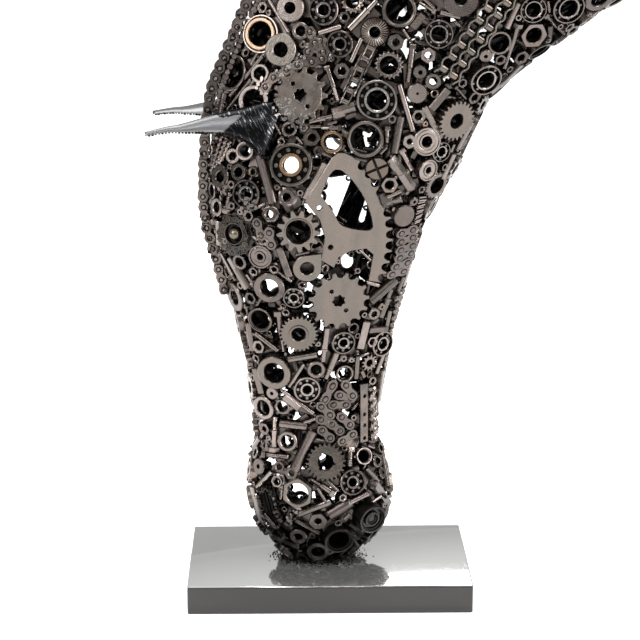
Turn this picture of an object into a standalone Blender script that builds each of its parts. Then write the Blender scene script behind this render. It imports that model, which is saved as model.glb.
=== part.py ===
"""A horse's head and arched neck welded from scrap machine parts, standing on its nose on a plinth plate.

Frame: metres, +Z up, origin at the middle of the plinth's underside. The forehead faces -X, the neck
leaves towards +X, and the horse's left side faces -Y. The welded body is one solid that stands for the
hollow mass of small scrap. The mane chains, the ears and the larger machine parts lie on it as solids
of their own. The form of the head, and the size and place of the scrap on it, are given in percent of
the head's length, so they keep together when that length changes. A place is an x and a z.
"""

import math

import bmesh
import bpy
from mathutils import Matrix, Vector
from mathutils.bvhtree import BVHTree

LEFT, RIGHT = -1, 1

# Plinth plate
PLINTH_WIDTH = 0.320
PLINTH_DEPTH = 0.200
PLINTH_THICKNESS = 0.033
PLINTH_EDGE = 0.0012

# The head's length, from the plinth to the poll
HEAD_LENGTH = 0.525

# Gap between pieces that touch, and the gap under a piece that lies on the body
CLEARANCE = 0.0003
SEAT_GAP = 0.0005

# Sections of the head and neck, from the lips to the cut end of the neck:
# front x, front z, back x, back z, half width, and how much wider the front half is than the back
SECTIONS = (
    (-8.4, 0.0, 3.0, 0.0, 4.6, 0.0),
    (-11.4, 3.4, 6.9, 3.2, 6.9, 0.0),
    (-15.2, 8.4, 11.6, 8.6, 8.8, 0.0),
    (-17.0, 14.0, 13.7, 13.0, 9.7, 0.0),
    (-17.2, 19.5, 13.0, 18.5, 9.9, 0.0),
    (-15.2, 28.8, 10.3, 28.4, 8.2, 0.1),
    (-16.2, 36.0, 10.5, 35.0, 8.0, 0.15),
    (-18.7, 52.0, 13.5, 52.4, 9.7, 0.14),
    (-23.0, 69.0, 18.1, 69.0, 13.5, 0.14),
    (-25.1, 76.8, 20.8, 77.5, 14.9, 0.12),
    (-25.4, 85.0, 25.9, 86.7, 14.7, 0.04),
    (-23.8, 101.6, 33.5, 102.7, 12.8, -0.2),
    (-20.8, 110.4, 40.0, 108.4, 12.4, -0.28),
    (-15.4, 122.6, 48.8, 115.0, 12.8, -0.3),
    (-7.3, 137.6, 59.6, 122.5, 13.5, -0.28),
    (2.9, 153.2, 66.7, 127.4, 14.3, -0.26),
    (31.0, 184.6, 76.8, 134.3, 15.8, -0.22),
)
SIDE_FULLNESS = 0.84
BODY_SIDES = 24
RING_SPACING = 7.6

# Ears, bent from sheet, from the root out. Each row is x, the rim's z, the arch's height and half width,
# its middle's distance from the middle of the head, and how far the outer rim is raked forward
EAR_ROWS = (
    (-9.2, 92.6, 9.6, 3.2, 8.2, 2.8),
    (-12.4, 92.4, 10.6, 4.0, 8.6, 1.4),
    (-16.8, 95.2, 7.0, 3.8, 9.2, 0.4),
    (-21.0, 96.5, 4.8, 2.7, 10.0, 0.0),
    (-23.5, 96.8, 3.8, 2.1, 10.5, 0.0),
    (-26.9, 96.8, 2.9, 1.6, 11.3, 0.0),
    (-30.7, 96.8, 1.8, 1.2, 12.3, 0.0),
    (-33.5, 96.8, 1.1, 0.8, 13.1, 0.0),
    (-37.8, 96.2, 0.5, 0.4, 14.3, 0.0),
)
EAR_THICKNESS = 0.002
EAR_ARCH_POINTS = 8
EAR_SPANS = 11
EAR_ARCH_SWEEP = 185

# Roller chain of the mane
CHAIN_PITCH = 0.0127
CHAIN_ROLLER = 0.0085
CHAIN_WIDTH = 0.013
CHAIN_HEIGHT = 0.0122
CHAIN_WAIST = 0.0085
CHAIN_SPACING = 0.0005
MANE_START = 61.4

# Strip of flattened double roller chain on the neck
DUPLEX_PITCH = 0.015875
DUPLEX_WIDTH = 0.029
DUPLEX_THICKNESS = 0.009
DUPLEX_GAP = 0.009
DUPLEX_LENGTH = 27.3
DUPLEX_PLACE = (30.8, 119.0)
DUPLEX_TURN = -34.6

# Cheek chainring: a cut sector of a big toothed ring. Its outline is given in the ring's own plane,
# as shares of its pitch radius, with the middle of its toothed rim to the right
RING_PITCH_RADIUS = 0.239 * HEAD_LENGTH
RING_PLACE = (4.55, 77.35)
RING_FACING = (0.232, -0.966, -0.12)
RING_THICKNESS = 0.004
RING_SUNK = 0.0092
RING_FIT = 0.0005
RING_CENTRE = (-0.6335, -0.1912)
RING_RIM_INNER = 0.857
RING_FIRST_VALLEY = 44.0
RING_SWEEP = 70.0
RING_SHOULDER = ((-0.183, 0.586), (-0.131, 0.630), (-0.069, 0.628))
RING_FOOT = ((0.155, -0.251), (0.017, -0.264), (-0.092, -0.318), (-0.130, -0.414))
RING_BACK = ((-0.249, -0.336), (-0.222, -0.124), (-0.271, 0.033), (-0.405, 0.206))
RING_WINDOW_TOP = ((-0.159, 0.482), (-0.212, 0.410), (-0.265, 0.261), (-0.147, 0.096))
RING_WINDOW_FOOT = ((-0.102, 0.002), (-0.061, -0.034), (0.037, -0.068), (0.182, -0.089))
RING_HOLES = ((-0.278, 0.143), (-0.167, -0.221))
RING_HOLE = 0.048
WELL_DEPTH = 0.03

# Eyes: a cup with a ball in it, set into a socket
EYE_PLACE = (-19.5, 75.0)
EYE_FACING = (-0.52, -0.85, 0.05)
EYE_DIAMETER = 0.084 * HEAD_LENGTH
EYE_RIM = 0.007
EYE_CUP_DEPTH = 0.013
EYE_FLOOR = 0.003
EYE_BALL = 0.013
EYE_STAND = 0.004

# See-through opening behind the chainring's window. The head is hollow, and light passes through it:
# the opening's outline in percent of the head's length from its place, and its fall in degrees
OPENING_PLACE = (1.9, 83.9)
OPENING = ((-2.3, 3.6), (1.6, 4.2), (3.0, 2.7), (1.5, -2.3), (-0.2, -5.2), (-3.7, 0.4))
OPENING_DROP = 14.0

# Nostrils: a slot with round ends, sunk in each side of the muzzle
NOSTRIL_PLACE = (-12.4, 13.4)
NOSTRIL_LENGTH = 0.076 * HEAD_LENGTH
NOSTRIL_WIDTH = 0.0286 * HEAD_LENGTH
NOSTRIL_DEPTH = 0.012
NOSTRIL_LEAN = 14.0

# Thicknesses of the machine parts
BEARING_WIDTH = 0.009
RING_WIDTH = 0.007
CUP_WIDTH = 0.011
GEAR_WIDTH = 0.007
NUT_WIDTH = 0.010
DISC_WIDTH = 0.011
SPROCKET_WIDTH = 0.0045
SHEET_SCRAP = 0.004

# Share of a bearing's wall that each race takes, and of its width at which the web between them lies
BEARING_RACE = 0.27
BEARING_WEB = 0.8

# Share of a ring's wall, and of a disc's width, that is chamfered
RING_CHAMFER = 0.3
DISC_CHAMFER = 0.25

# Sprocket teeth over the pitch circle, and the two small holes beside the bore
TOOTH_RISE = 0.0035
SIDE_HOLE = 0.005
SIDE_HOLE_STEP = 0.0075
SIDE_HOLE_TURN = 126

# Machine parts: side, then sizes in percent of the head's length, then place, and turn in degrees.
# A bearing: outer diameter, bore
TEMPLE_BEARING = (LEFT, 8.76, 3.4, (-7.8, 89.8))
BEARINGS = {
    "temple_bearing": TEMPLE_BEARING,
    "neck_bearing": (LEFT, 8.2, 3.2, (9.5, 103.2)),
    "throat_bearing": (LEFT, 6.9, 3.2, (31.2, 107.7)),
    "right_neck_bearing": (RIGHT, 9.0, 3.8, (12.5, 107.0)),
}
# A ring or washer: outer diameter, bore, width in metres
RINGS = {
    "jaw_cup_ring": (LEFT, 7.4, 6.1, CUP_WIDTH, (7.1, 95.3)),
    "neck_cup_ring": (LEFT, 6.9, 5.5, CUP_WIDTH, (14.1, 121.4)),
    "poll_washer": (LEFT, 6.7, 3.0, RING_WIDTH, (-9.7, 112.7)),
    "nose_washer": (LEFT, 7.4, 4.6, RING_WIDTH, (-11.4, 44.5)),
    "lip_ring": (LEFT, 6.5, 4.0, RING_WIDTH, (1.9, 7.0)),
    "right_nose_ring": (RIGHT, 6.9, 4.6, RING_WIDTH, (-5.0, 50.5)),
    "right_chin_ring": (RIGHT, 6.1, 3.8, RING_WIDTH, (4.5, 10.0)),
}
# A gear: teeth, tip diameter, root diameter, bore
GEARS = {
    "cheek_gear": (LEFT, 13, 9.1, 7.0, 4.95, (-6.5, 76.6), 6),
    "nose_gear": (LEFT, 26, 8.2, 7.0, 3.0, (-6.5, 53.8), 0),
    "muzzle_gear": (LEFT, 20, 8.4, 7.0, 3.4, (-0.9, 24.5), 0),
    "throat_gear": (LEFT, 24, 8.76, 7.4, 3.2, (25.3, 98.8), 0),
    "right_temple_gear": (RIGHT, 16, 9.9, 8.0, 3.8, (-5.0, 91.0), 0),
    "right_neck_gear": (RIGHT, 22, 9.5, 8.2, 3.4, (28.0, 116.5), 0),
    "right_muzzle_gear": (RIGHT, 18, 8.76, 7.2, 3.8, (-2.5, 20.5), 0),
}
# A sprocket: pitch diameter, bore. Its teeth follow from the chain's pitch
POLL_SPROCKET = (LEFT, 10.13, 2.76, (-5.9, 103.8), 0)
SPROCKETS = {
    "jaw_sprocket": (LEFT, 11.65, 2.76, (1.7, 60.9), 5),
    "right_cheek_sprocket": (RIGHT, 17.8, 4.76, (9.0, 64.8), 0),
}
# A plate with a point, a boss and a big nut
TEARDROP_PLATE = (LEFT, 5.9, 2.95, (-4.8, 68.4))
CHIN_DISC = (LEFT, 6.5, (8.3, 11.8))
MUZZLE_NUT = (LEFT, 6.85, 4.76, (-6.6, 18.1), 12)

# Point of the teardrop plate: its direction in degrees, its reach in radii, and the arc that it leaves open
TEARDROP_TURN = 48
TEARDROP_REACH = 1.48
TEARDROP_OPEN = 84

# Points round a turned piece, round a bore and round a small hole
ROUND_STEPS = 14
BORE_STEPS = 9
HOLE_STEPS = 6


def share(percent):
    """A length given in percent of the head's length."""
    return HEAD_LENGTH * percent / 100


def height(percent):
    """A height over the plinth's underside, given in percent of the head's length over the plinth."""
    return PLINTH_THICKNESS + share(percent)


# Scene, materials and mesh helpers


def clear_scene():
    for thing in list(bpy.data.objects):
        bpy.data.objects.remove(thing, do_unlink=True)


def new_collection(name):
    made = bpy.data.collections.new(name)
    bpy.context.scene.collection.children.link(made)
    return made


def new_material(name, colour, roughness, metallic=1.0):
    made = bpy.data.materials.new(name)
    made.use_nodes = True
    shader = made.node_tree.nodes["Principled BSDF"]
    shader.inputs["Base Color"].default_value = (*colour, 1.0)
    shader.inputs["Roughness"].default_value = roughness
    shader.inputs["Metallic"].default_value = metallic
    made.diffuse_color = (*colour, 1.0)
    return made


def finished_mesh(builder, name):
    """The mesh of a bmesh, with its faces pointing out."""
    mesh = bpy.data.meshes.new(name)
    bmesh.ops.recalc_face_normals(builder, faces=builder.faces)
    builder.to_mesh(mesh)
    builder.free()
    return mesh


def evaluated_mesh(name, data, change=None):
    """The mesh of a curve or mesh as Blender evaluates it, after a change to its object."""
    holder = bpy.data.objects.new(name, data)
    bpy.context.scene.collection.objects.link(holder)
    if change:
        change(holder)
    graph = bpy.context.evaluated_depsgraph_get()
    mesh = bpy.data.meshes.new_from_object(holder.evaluated_get(graph))
    bpy.data.objects.remove(holder, do_unlink=True)
    return mesh


def loft(rings):
    """A closed bmesh through rings of equal count, capped flat at both ends."""
    builder = bmesh.new()
    rows = [[builder.verts.new(point) for point in ring] for ring in rings]
    for low, high in zip(rows, rows[1:]):
        for i in range(len(low)):
            j = (i + 1) % len(low)
            builder.faces.new((low[i], low[j], high[j], high[i]))
    builder.faces.new(list(reversed(rows[0])))
    builder.faces.new(rows[-1])
    return builder


def flat_mesh(name, outlines, thickness):
    """A plate from z = 0 up to its thickness: the first outline is its edge, the others are holes."""
    curve = bpy.data.curves.new(name, "CURVE")
    curve.dimensions = "2D"
    curve.fill_mode = "BOTH"
    curve.extrude = thickness / 2
    for outline in outlines:
        spline = curve.splines.new("POLY")
        spline.points.add(len(outline) - 1)
        for point, (x, y) in zip(spline.points, outline):
            point.co = (x, y, 0, 1)
        spline.use_cyclic_u = True
    builder = bmesh.new()
    builder.from_mesh(evaluated_mesh(name, curve))
    bmesh.ops.remove_doubles(builder, verts=builder.verts, dist=1e-6)
    bmesh.ops.translate(builder, verts=builder.verts, vec=(0, 0, thickness / 2))
    return finished_mesh(builder, name)


def circle(radius, count, centre=(0, 0), first=0.0):
    """Points round a circle in a plane."""
    turns = [first + 2 * math.pi * i / count for i in range(count)]
    return [(centre[0] + radius * math.cos(t), centre[1] + radius * math.sin(t)) for t in turns]


def turned_mesh(name, profile):
    """A profile of (radius, height), closed if it stays off the axis, turned round Z by a Screw modifier."""
    builder = bmesh.new()
    corners = [builder.verts.new((radius, 0, level)) for radius, level in profile]
    closed = profile[0][0] > 0 and profile[-1][0] > 0
    for first, second in zip(corners, corners[1:] + corners[:1] if closed else corners[1:]):
        builder.edges.new((first, second))
    mesh = bpy.data.meshes.new(name)
    builder.to_mesh(mesh)
    builder.free()

    def add_screw(holder):
        screw = holder.modifiers.new("Turn", "SCREW")
        screw.steps = ROUND_STEPS
        screw.render_steps = ROUND_STEPS
        screw.use_merge_vertices = True
        screw.merge_threshold = 0.00001

    builder = bmesh.new()
    builder.from_mesh(evaluated_mesh(name, mesh, add_screw))
    return finished_mesh(builder, name)


# Machine parts, each standing on z = 0 round the Z axis


def bearing_mesh(name, outer, bore):
    """A ball bearing: two races joined by a sunk web."""
    radius, inner = outer / 2, bore / 2
    race = (radius - inner) * BEARING_RACE
    web = BEARING_WIDTH * BEARING_WEB
    profile = [
        (radius, BEARING_WIDTH),
        (radius, 0),
        (inner, 0),
        (inner, BEARING_WIDTH),
        (inner + race, BEARING_WIDTH),
        (inner + race, web),
        (radius - race, web),
        (radius - race, BEARING_WIDTH),
    ]
    return turned_mesh(name, profile)


def ring_mesh(name, outer, bore, width):
    """A plain ring or washer with a chamfered mouth."""
    radius, inner = outer / 2, bore / 2
    chamfer = min(radius - inner, width) * RING_CHAMFER
    profile = [(radius, width), (radius, 0), (inner, 0), (inner, width - chamfer), (inner + chamfer, width)]
    return turned_mesh(name, profile)


def disc_mesh(name, outer):
    """A round boss with a chamfered edge."""
    radius, width = outer / 2, DISC_WIDTH
    chamfer = width * DISC_CHAMFER
    profile = [(0, width), (radius - chamfer, width), (radius, width - chamfer), (radius, 0), (0, 0)]
    return turned_mesh(name, profile)


def nut_mesh(name, across, bore):
    """A hexagon nut, measured across its corners."""
    return flat_mesh(name, [circle(across / 2, 6), circle(bore / 2, BORE_STEPS)], NUT_WIDTH)


def gear_mesh(name, teeth, tip, root, bore):
    """A spur gear. Its fine teeth come to a point, and coarse ones have a flat top."""
    fine = teeth > 15
    pointed = ((-0.25, root), (0.25, tip))
    flat_topped = ((-0.3, root), (-0.14, tip), (0.14, tip), (0.3, root))
    outline = []
    for tooth in range(teeth):
        for turn, diameter in pointed if fine else flat_topped:
            angle = (tooth + turn) * 2 * math.pi / teeth
            outline.append((diameter / 2 * math.cos(angle), diameter / 2 * math.sin(angle)))
    return flat_mesh(name, [outline, circle(bore / 2, BORE_STEPS)], GEAR_WIDTH)


def sprocket_mesh(name, pitch_diameter, bore):
    """A chain sprocket: as many teeth as the chain's pitch allows, with valleys that fit its rollers."""
    teeth = int(math.pi * pitch_diameter / CHAIN_PITCH)
    pitch_radius = CHAIN_PITCH / (2 * math.sin(math.pi / teeth))
    root, tip = pitch_radius - CHAIN_ROLLER / 2, pitch_radius + TOOTH_RISE
    outline = []
    for tooth in range(teeth):
        for turn, radius in ((-0.3, root), (0, tip), (0.3, root)):
            angle = (tooth + turn) * 2 * math.pi / teeth
            outline.append((radius * math.cos(angle), radius * math.sin(angle)))
    side_holes = circle(bore / 2 + SIDE_HOLE_STEP, 2, first=math.radians(SIDE_HOLE_TURN))
    holes = [circle(SIDE_HOLE / 2, HOLE_STEPS, centre) for centre in side_holes]
    return flat_mesh(name, [outline, circle(bore / 2, BORE_STEPS)] + holes, SPROCKET_WIDTH)


def eye_cup_mesh(name):
    """A cup with a thick rim and a flat floor."""
    radius = EYE_DIAMETER / 2
    mouth = radius - EYE_RIM
    floor = mouth * 0.75
    profile = [
        (0, EYE_FLOOR),
        (floor, EYE_FLOOR),
        (mouth, EYE_CUP_DEPTH),
        (radius, EYE_CUP_DEPTH),
        (radius, 0),
        (0, 0),
    ]
    return turned_mesh(name, profile)


def ball_mesh(name, diameter):
    builder = bmesh.new()
    bmesh.ops.create_uvsphere(builder, u_segments=10, v_segments=6, radius=diameter / 2)
    return finished_mesh(builder, name)


def nostril_mesh(name):
    """The tool that sinks a nostril: a slot with round ends, twice as tall as it sinks."""
    radius = NOSTRIL_WIDTH / 2
    straight = NOSTRIL_LENGTH / 2 - radius
    outline = [(x, y + math.copysign(straight, y)) for x, y in circle(radius, 10, first=math.pi / 10)]
    return flat_mesh(name, [outline], 2 * NOSTRIL_DEPTH)


def teardrop_mesh(name, outer, bore):
    """A washer with a point drawn out to one side."""
    radius, count = outer / 2, 12
    tip = math.radians(TEARDROP_TURN)
    outline = [(radius * TEARDROP_REACH * math.cos(tip), radius * TEARDROP_REACH * math.sin(tip))]
    for k in range(count + 1):
        turn = tip + math.radians(TEARDROP_OPEN / 2 + (360 - TEARDROP_OPEN) * k / count)
        outline.append((radius * math.cos(turn), radius * math.sin(turn)))
    return flat_mesh(name, [outline, circle(bore / 2, BORE_STEPS)], SHEET_SCRAP)


def duplex_chain_mesh(name):
    """A flattened strip of double roller chain with waved edges and its gaps between the rollers."""
    links = round(share(DUPLEX_LENGTH) / DUPLEX_PITCH)
    half = DUPLEX_WIDTH / 2
    waist = half * 0.88
    right = []
    for k in range(2 * links + 1):
        right.append((waist if k % 2 else half, (k - links) * DUPLEX_PITCH / 2))
    left = [(-x, y) for x, y in reversed(right)]
    gaps = []
    for k in range(links):
        middle = (k + 0.5 - links / 2) * DUPLEX_PITCH
        for side in (LEFT, RIGHT):
            gaps.append(circle(DUPLEX_GAP / 2, 4, (side * half / 2, middle), math.pi / 4))
    return flat_mesh(name, [right + left] + gaps, DUPLEX_THICKNESS)


# Cheek chainring


def ring_points(shares):
    """Points of the chainring's plane, from shares of its pitch radius."""
    return [(RING_PITCH_RADIUS * x, RING_PITCH_RADIUS * y) for x, y in shares]


def on_ring(radius, degrees):
    """A point of the chainring's plane at a radius and an angle round the ring's centre."""
    centre = ring_points([RING_CENTRE])[0]
    return circle(radius, 1, centre, math.radians(degrees))[0]


def chainring_outlines():
    """The sector's toothed edge, its closed window and its small holes."""
    step = math.degrees(CHAIN_PITCH / RING_PITCH_RADIUS)
    valleys = round(RING_SWEEP / step)
    tip = RING_PITCH_RADIUS + TOOTH_RISE
    valley = RING_PITCH_RADIUS - CHAIN_ROLLER / 2
    flank = RING_PITCH_RADIUS - CHAIN_ROLLER / 4
    rim = RING_PITCH_RADIUS * RING_RIM_INNER
    edge = []
    for k in range(valleys):
        middle = RING_FIRST_VALLEY - k * step
        for turn, radius in ((0.42, tip), (0.28, flank), (0, valley), (-0.28, flank)):
            edge.append(on_ring(radius, middle + step * turn))
    last = RING_FIRST_VALLEY - (valleys - 0.5) * step
    edge.append(on_ring(tip, last))
    edge += [on_ring(rim * 1.045, last - 1), on_ring(rim * 1.03, -20), on_ring(rim * 1.01, -8)]
    edge += ring_points(RING_FOOT + RING_BACK + RING_SHOULDER)
    window = [on_ring(rim, angle) for angle in range(9, 52, 7)]
    window += ring_points(RING_WINDOW_TOP + RING_WINDOW_FOOT)
    hole = RING_PITCH_RADIUS * RING_HOLE / 2
    holes = [circle(hole, HOLE_STEPS, centre) for centre in ring_points(RING_HOLES)]
    return [edge, window] + holes


def pocket_outline():
    """The plain outline of the pocket the sector lies in, clear of its teeth and edges."""
    step = math.degrees(CHAIN_PITCH / RING_PITCH_RADIUS)
    tip = RING_PITCH_RADIUS + TOOTH_RISE + RING_FIT
    first = RING_FIRST_VALLEY + 0.7 * step
    sweep = RING_SWEEP + 1.1 * step
    outline = [on_ring(tip, first - sweep * k / 8) for k in range(9)]
    low = ring_points([(-0.239, -0.717), (-0.271, -0.336)])
    back = ring_points(RING_BACK[-1:] + RING_SHOULDER)
    gap = 2 * RING_FIT
    outline += low
    outline.append((back[0][0] - 2 * gap, back[0][1]))
    outline.append((back[1][0] - gap, back[1][1] + gap))
    outline += [(x - gap, y + gap) for x, y in back[2:3]]
    outline += [(x, y + gap) for x, y in back[3:]]
    return outline


# The body, and what lies on it


def smooth_row(table, step):
    """The row of a table at a fractional step, on a Catmull-Rom curve through its rows."""
    low = min(int(step), len(table) - 2)
    t = step - low
    rows = [table[min(max(low + k, 0), len(table) - 1)] for k in (-1, 0, 1, 2)]
    return [
        0.5 * (2 * b + (c - a) * t + (2 * a - 5 * b + 4 * c - d) * t**2 + (3 * b - a - 3 * c + d) * t**3)
        for a, b, c, d in zip(*rows)
    ]


def section_point(step, angle, grow=0.0):
    """A point of the skin: step counts sections from the lips, angle 0 is the front and pi the back."""
    fx, fz, bx, bz, half, taper = smooth_row(SECTIONS, step)
    front = Vector((share(fx), 0, height(fz)))
    back = Vector((share(bx), 0, height(bz)))
    outward = (front - back).normalized() * grow
    along, across = math.cos(angle), math.sin(angle)
    width = (share(half) + grow) * abs(across) ** SIDE_FULLNESS * (1 + taper * along)
    point = (front + back) / 2 + ((front - back) / 2 + outward) * along
    point.y = math.copysign(width, -across)
    return point


def widest():
    """The body's greatest width."""
    return 2 * share(max(row[4] * (1 + abs(row[5])) for row in SECTIONS))


def ring_steps():
    """Section steps at which the skin has a ring of points, about evenly spaced along the horse."""
    steps = []
    for low in range(len(SECTIONS) - 1):
        a, b = SECTIONS[low], SECTIONS[low + 1]
        length = math.dist((a[0] + a[2], a[1] + a[3]), (b[0] + b[2], b[1] + b[3])) / 2
        count = max(1, round(length / RING_SPACING))
        steps += [low + k / count for k in range(count)]
    return steps + [len(SECTIONS) - 1]


def body_mesh(name, grow=0.0):
    turns = [2 * math.pi * i / BODY_SIDES for i in range(BODY_SIDES)]
    rings = [[section_point(step, turn, grow) for turn in turns] for step in ring_steps()]
    for point in rings[0]:
        point.z = PLINTH_THICKNESS + CLEARANCE
    return finished_mesh(loft(rings), name)


class Skin:
    """The body's uncut surface, for placing pieces on it."""

    def __init__(self, mesh):
        self.points = [vertex.co.copy() for vertex in mesh.vertices]
        faces = [tuple(face.vertices) for face in mesh.polygons]
        self.tree = BVHTree.FromPolygons(self.points, faces)

    def at(self, place, side):
        """The point and outward normal where a line across the horse meets the given side."""
        start = Vector((share(place[0]), side * widest(), height(place[1])))
        point, normal, _, _ = self.tree.ray_cast(start, Vector((0, -side, 0)))
        return point, normal

    def under(self, point, normal, radius, count):
        """Where the surface lies under points round a circle about a normal, with its normals there."""
        frame = normal.to_track_quat("Z", "Y")
        for x, y in circle(radius, count):
            start = point + frame @ Vector((x, y, widest() / 2))
            hit, facing, _, _ = self.tree.ray_cast(start, -normal)
            if hit:
                yield hit, facing

    def facing(self, point, normal, radius):
        """The mean outward direction of the surface under a disc."""
        total = normal.copy()
        for _, facing in self.under(point, normal, radius * 0.7, 8):
            total += facing
        return total.normalized()

    def rise(self, point, normal, radius):
        """How far the surface under a disc stands over the plane of the disc."""
        top = 0.0
        for part in (0.5, 0.8, 1.0):
            for hit, _ in self.under(point, normal, radius * part, 24):
                top = max(top, (hit - point).dot(normal))
        for vertex in self.points:
            offset = vertex - point
            level = offset.dot(normal)
            if (offset - normal * level).length < radius and abs(level) < radius:
                top = max(top, level)
        return top


def reach_of(mesh):
    """How far a mesh reaches from the Z axis."""
    return max(math.hypot(vertex.co.x, vertex.co.y) for vertex in mesh.vertices)


def frame_on(point, normal, turn=0.0):
    """A placing matrix with Z along the normal and Y as near to up as it goes, turned in degrees."""
    up = Vector((0, 0, 1))
    y_axis = (up - normal * up.dot(normal)).normalized()
    x_axis = y_axis.cross(normal)
    turned = Matrix((x_axis, y_axis, normal)).transposed() @ Matrix.Rotation(math.radians(turn), 3, "Z")
    return Matrix.Translation(point) @ turned.to_4x4()


def seat(skin, place, side, radius, turn=0.0):
    """The placing matrix of a piece that rests flat on the skin, clear of it by the seat gap."""
    point, normal = skin.at(place, side)
    normal = skin.facing(point, normal, radius)
    point = point + normal * (skin.rise(point, normal, radius) + SEAT_GAP)
    return frame_on(point, normal, turn)


def cut(body, cutter):
    """Cuts a tool out of the body."""
    bool_cut = body.modifiers.new(cutter.name, "BOOLEAN")
    bool_cut.operation = "DIFFERENCE"
    bool_cut.solver = "EXACT"
    bool_cut.object = cutter


def side_angle(step, offset):
    """The angle round the front of a section at which the skin is a given distance from the middle."""
    low, high = 0.0, math.pi / 2
    for _ in range(30):
        middle = (low + high) / 2
        if abs(section_point(step, middle).y) < offset:
            low = middle
        else:
            high = middle
    return high


def mane_route(inner):
    """The crest's line in x and z, where the skin is a given distance from the middle."""
    last, count = len(SECTIONS) - 1, 6 * len(SECTIONS)
    route = []
    for k in range(count + 1):
        step = last * k / count
        point = section_point(step, side_angle(step, inner) if inner else 0.0, SEAT_GAP)
        if point.z >= height(MANE_START):
            route.append(Vector((point.x, point.z)))
    return route


def mane_mesh(name, offset):
    """One strand of roller chain lying along the crest on its rollers, at an offset from the middle."""
    route = mane_route(max(0.0, abs(offset) - CHAIN_WIDTH / 2))
    lengths = [0.0]
    for a, b in zip(route, route[1:]):
        lengths.append(lengths[-1] + (b - a).length)
    links = int(lengths[-1] / CHAIN_PITCH)

    def along(distance, lift):
        k = max(i for i, length in enumerate(lengths[:-1]) if length <= distance + 1e-9)
        direction = (route[k + 1] - route[k]).normalized()
        outward = Vector((-direction.y, direction.x))
        point = route[k] + direction * (distance - lengths[k]) + outward * lift
        return (point.x, point.y)

    waist = (CHAIN_HEIGHT - CHAIN_WAIST) / 2
    outer = [along(k * CHAIN_PITCH / 2, CHAIN_HEIGHT - waist * (k % 2)) for k in range(2 * links + 1)]
    under = [along(k * CHAIN_PITCH, CLEARANCE) for k in range(links, 0, -2)] + [along(0, CLEARANCE)]
    mesh = flat_mesh(name, [outer + under], CHAIN_WIDTH)
    # The plate was drawn in x and y: y becomes z, and its thickness goes across the horse
    mesh.transform(Matrix(((1, 0, 0, 0), (0, 0, 1, offset - CHAIN_WIDTH / 2), (0, 1, 0, 0), (0, 0, 0, 1))))
    builder = bmesh.new()
    builder.from_mesh(mesh)
    return finished_mesh(builder, name)


def ear_sheet(side):
    """The open sheet of an ear: an arch that narrows to the tip, its hollow facing down."""
    builder = bmesh.new()
    rows = []
    for k in range(EAR_SPANS + 1):
        x, rim, arch, half, out, rake = smooth_row(EAR_ROWS, k * (len(EAR_ROWS) - 1) / EAR_SPANS)
        row = []
        for i in range(EAR_ARCH_POINTS):
            t = math.radians(EAR_ARCH_SWEEP * i / (EAR_ARCH_POINTS - 1))
            forward = rake * max(0.0, -math.cos(t)) ** 2
            y = side * share(out - half * math.cos(t))
            row.append(builder.verts.new((share(x - forward), y, height(rim + arch * math.sin(t)))))
        rows.append(row)
    for low, high in zip(rows, rows[1:]):
        for i in range(EAR_ARCH_POINTS - 1):
            builder.faces.new((low[i], low[i + 1], high[i + 1], high[i]))
    return builder


def make_ear(name, side, collection, material, grown_body):
    mesh = finished_mesh(ear_sheet(side), name)
    ear = bpy.data.objects.new(name, mesh)
    collection.objects.link(ear)
    mesh.materials.append(material)
    shell = ear.modifiers.new("Sheet", "SOLIDIFY")
    shell.thickness = EAR_THICKNESS
    shell.offset = 0
    cut(ear, grown_body)
    return ear


def make_plinth(material):
    bpy.ops.mesh.primitive_cube_add(size=1)
    plinth = bpy.context.object
    plinth.name = "plinth"
    plinth.data.name = "plinth"
    plinth.data.transform(Matrix.Diagonal((PLINTH_WIDTH, PLINTH_DEPTH, PLINTH_THICKNESS, 1)))
    plinth.data.transform(Matrix.Translation((0, 0, PLINTH_THICKNESS / 2)))
    plinth.data.materials.append(material)
    edge = plinth.modifiers.new("Edge", "BEVEL")
    edge.width = PLINTH_EDGE
    edge.segments = 1


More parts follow.
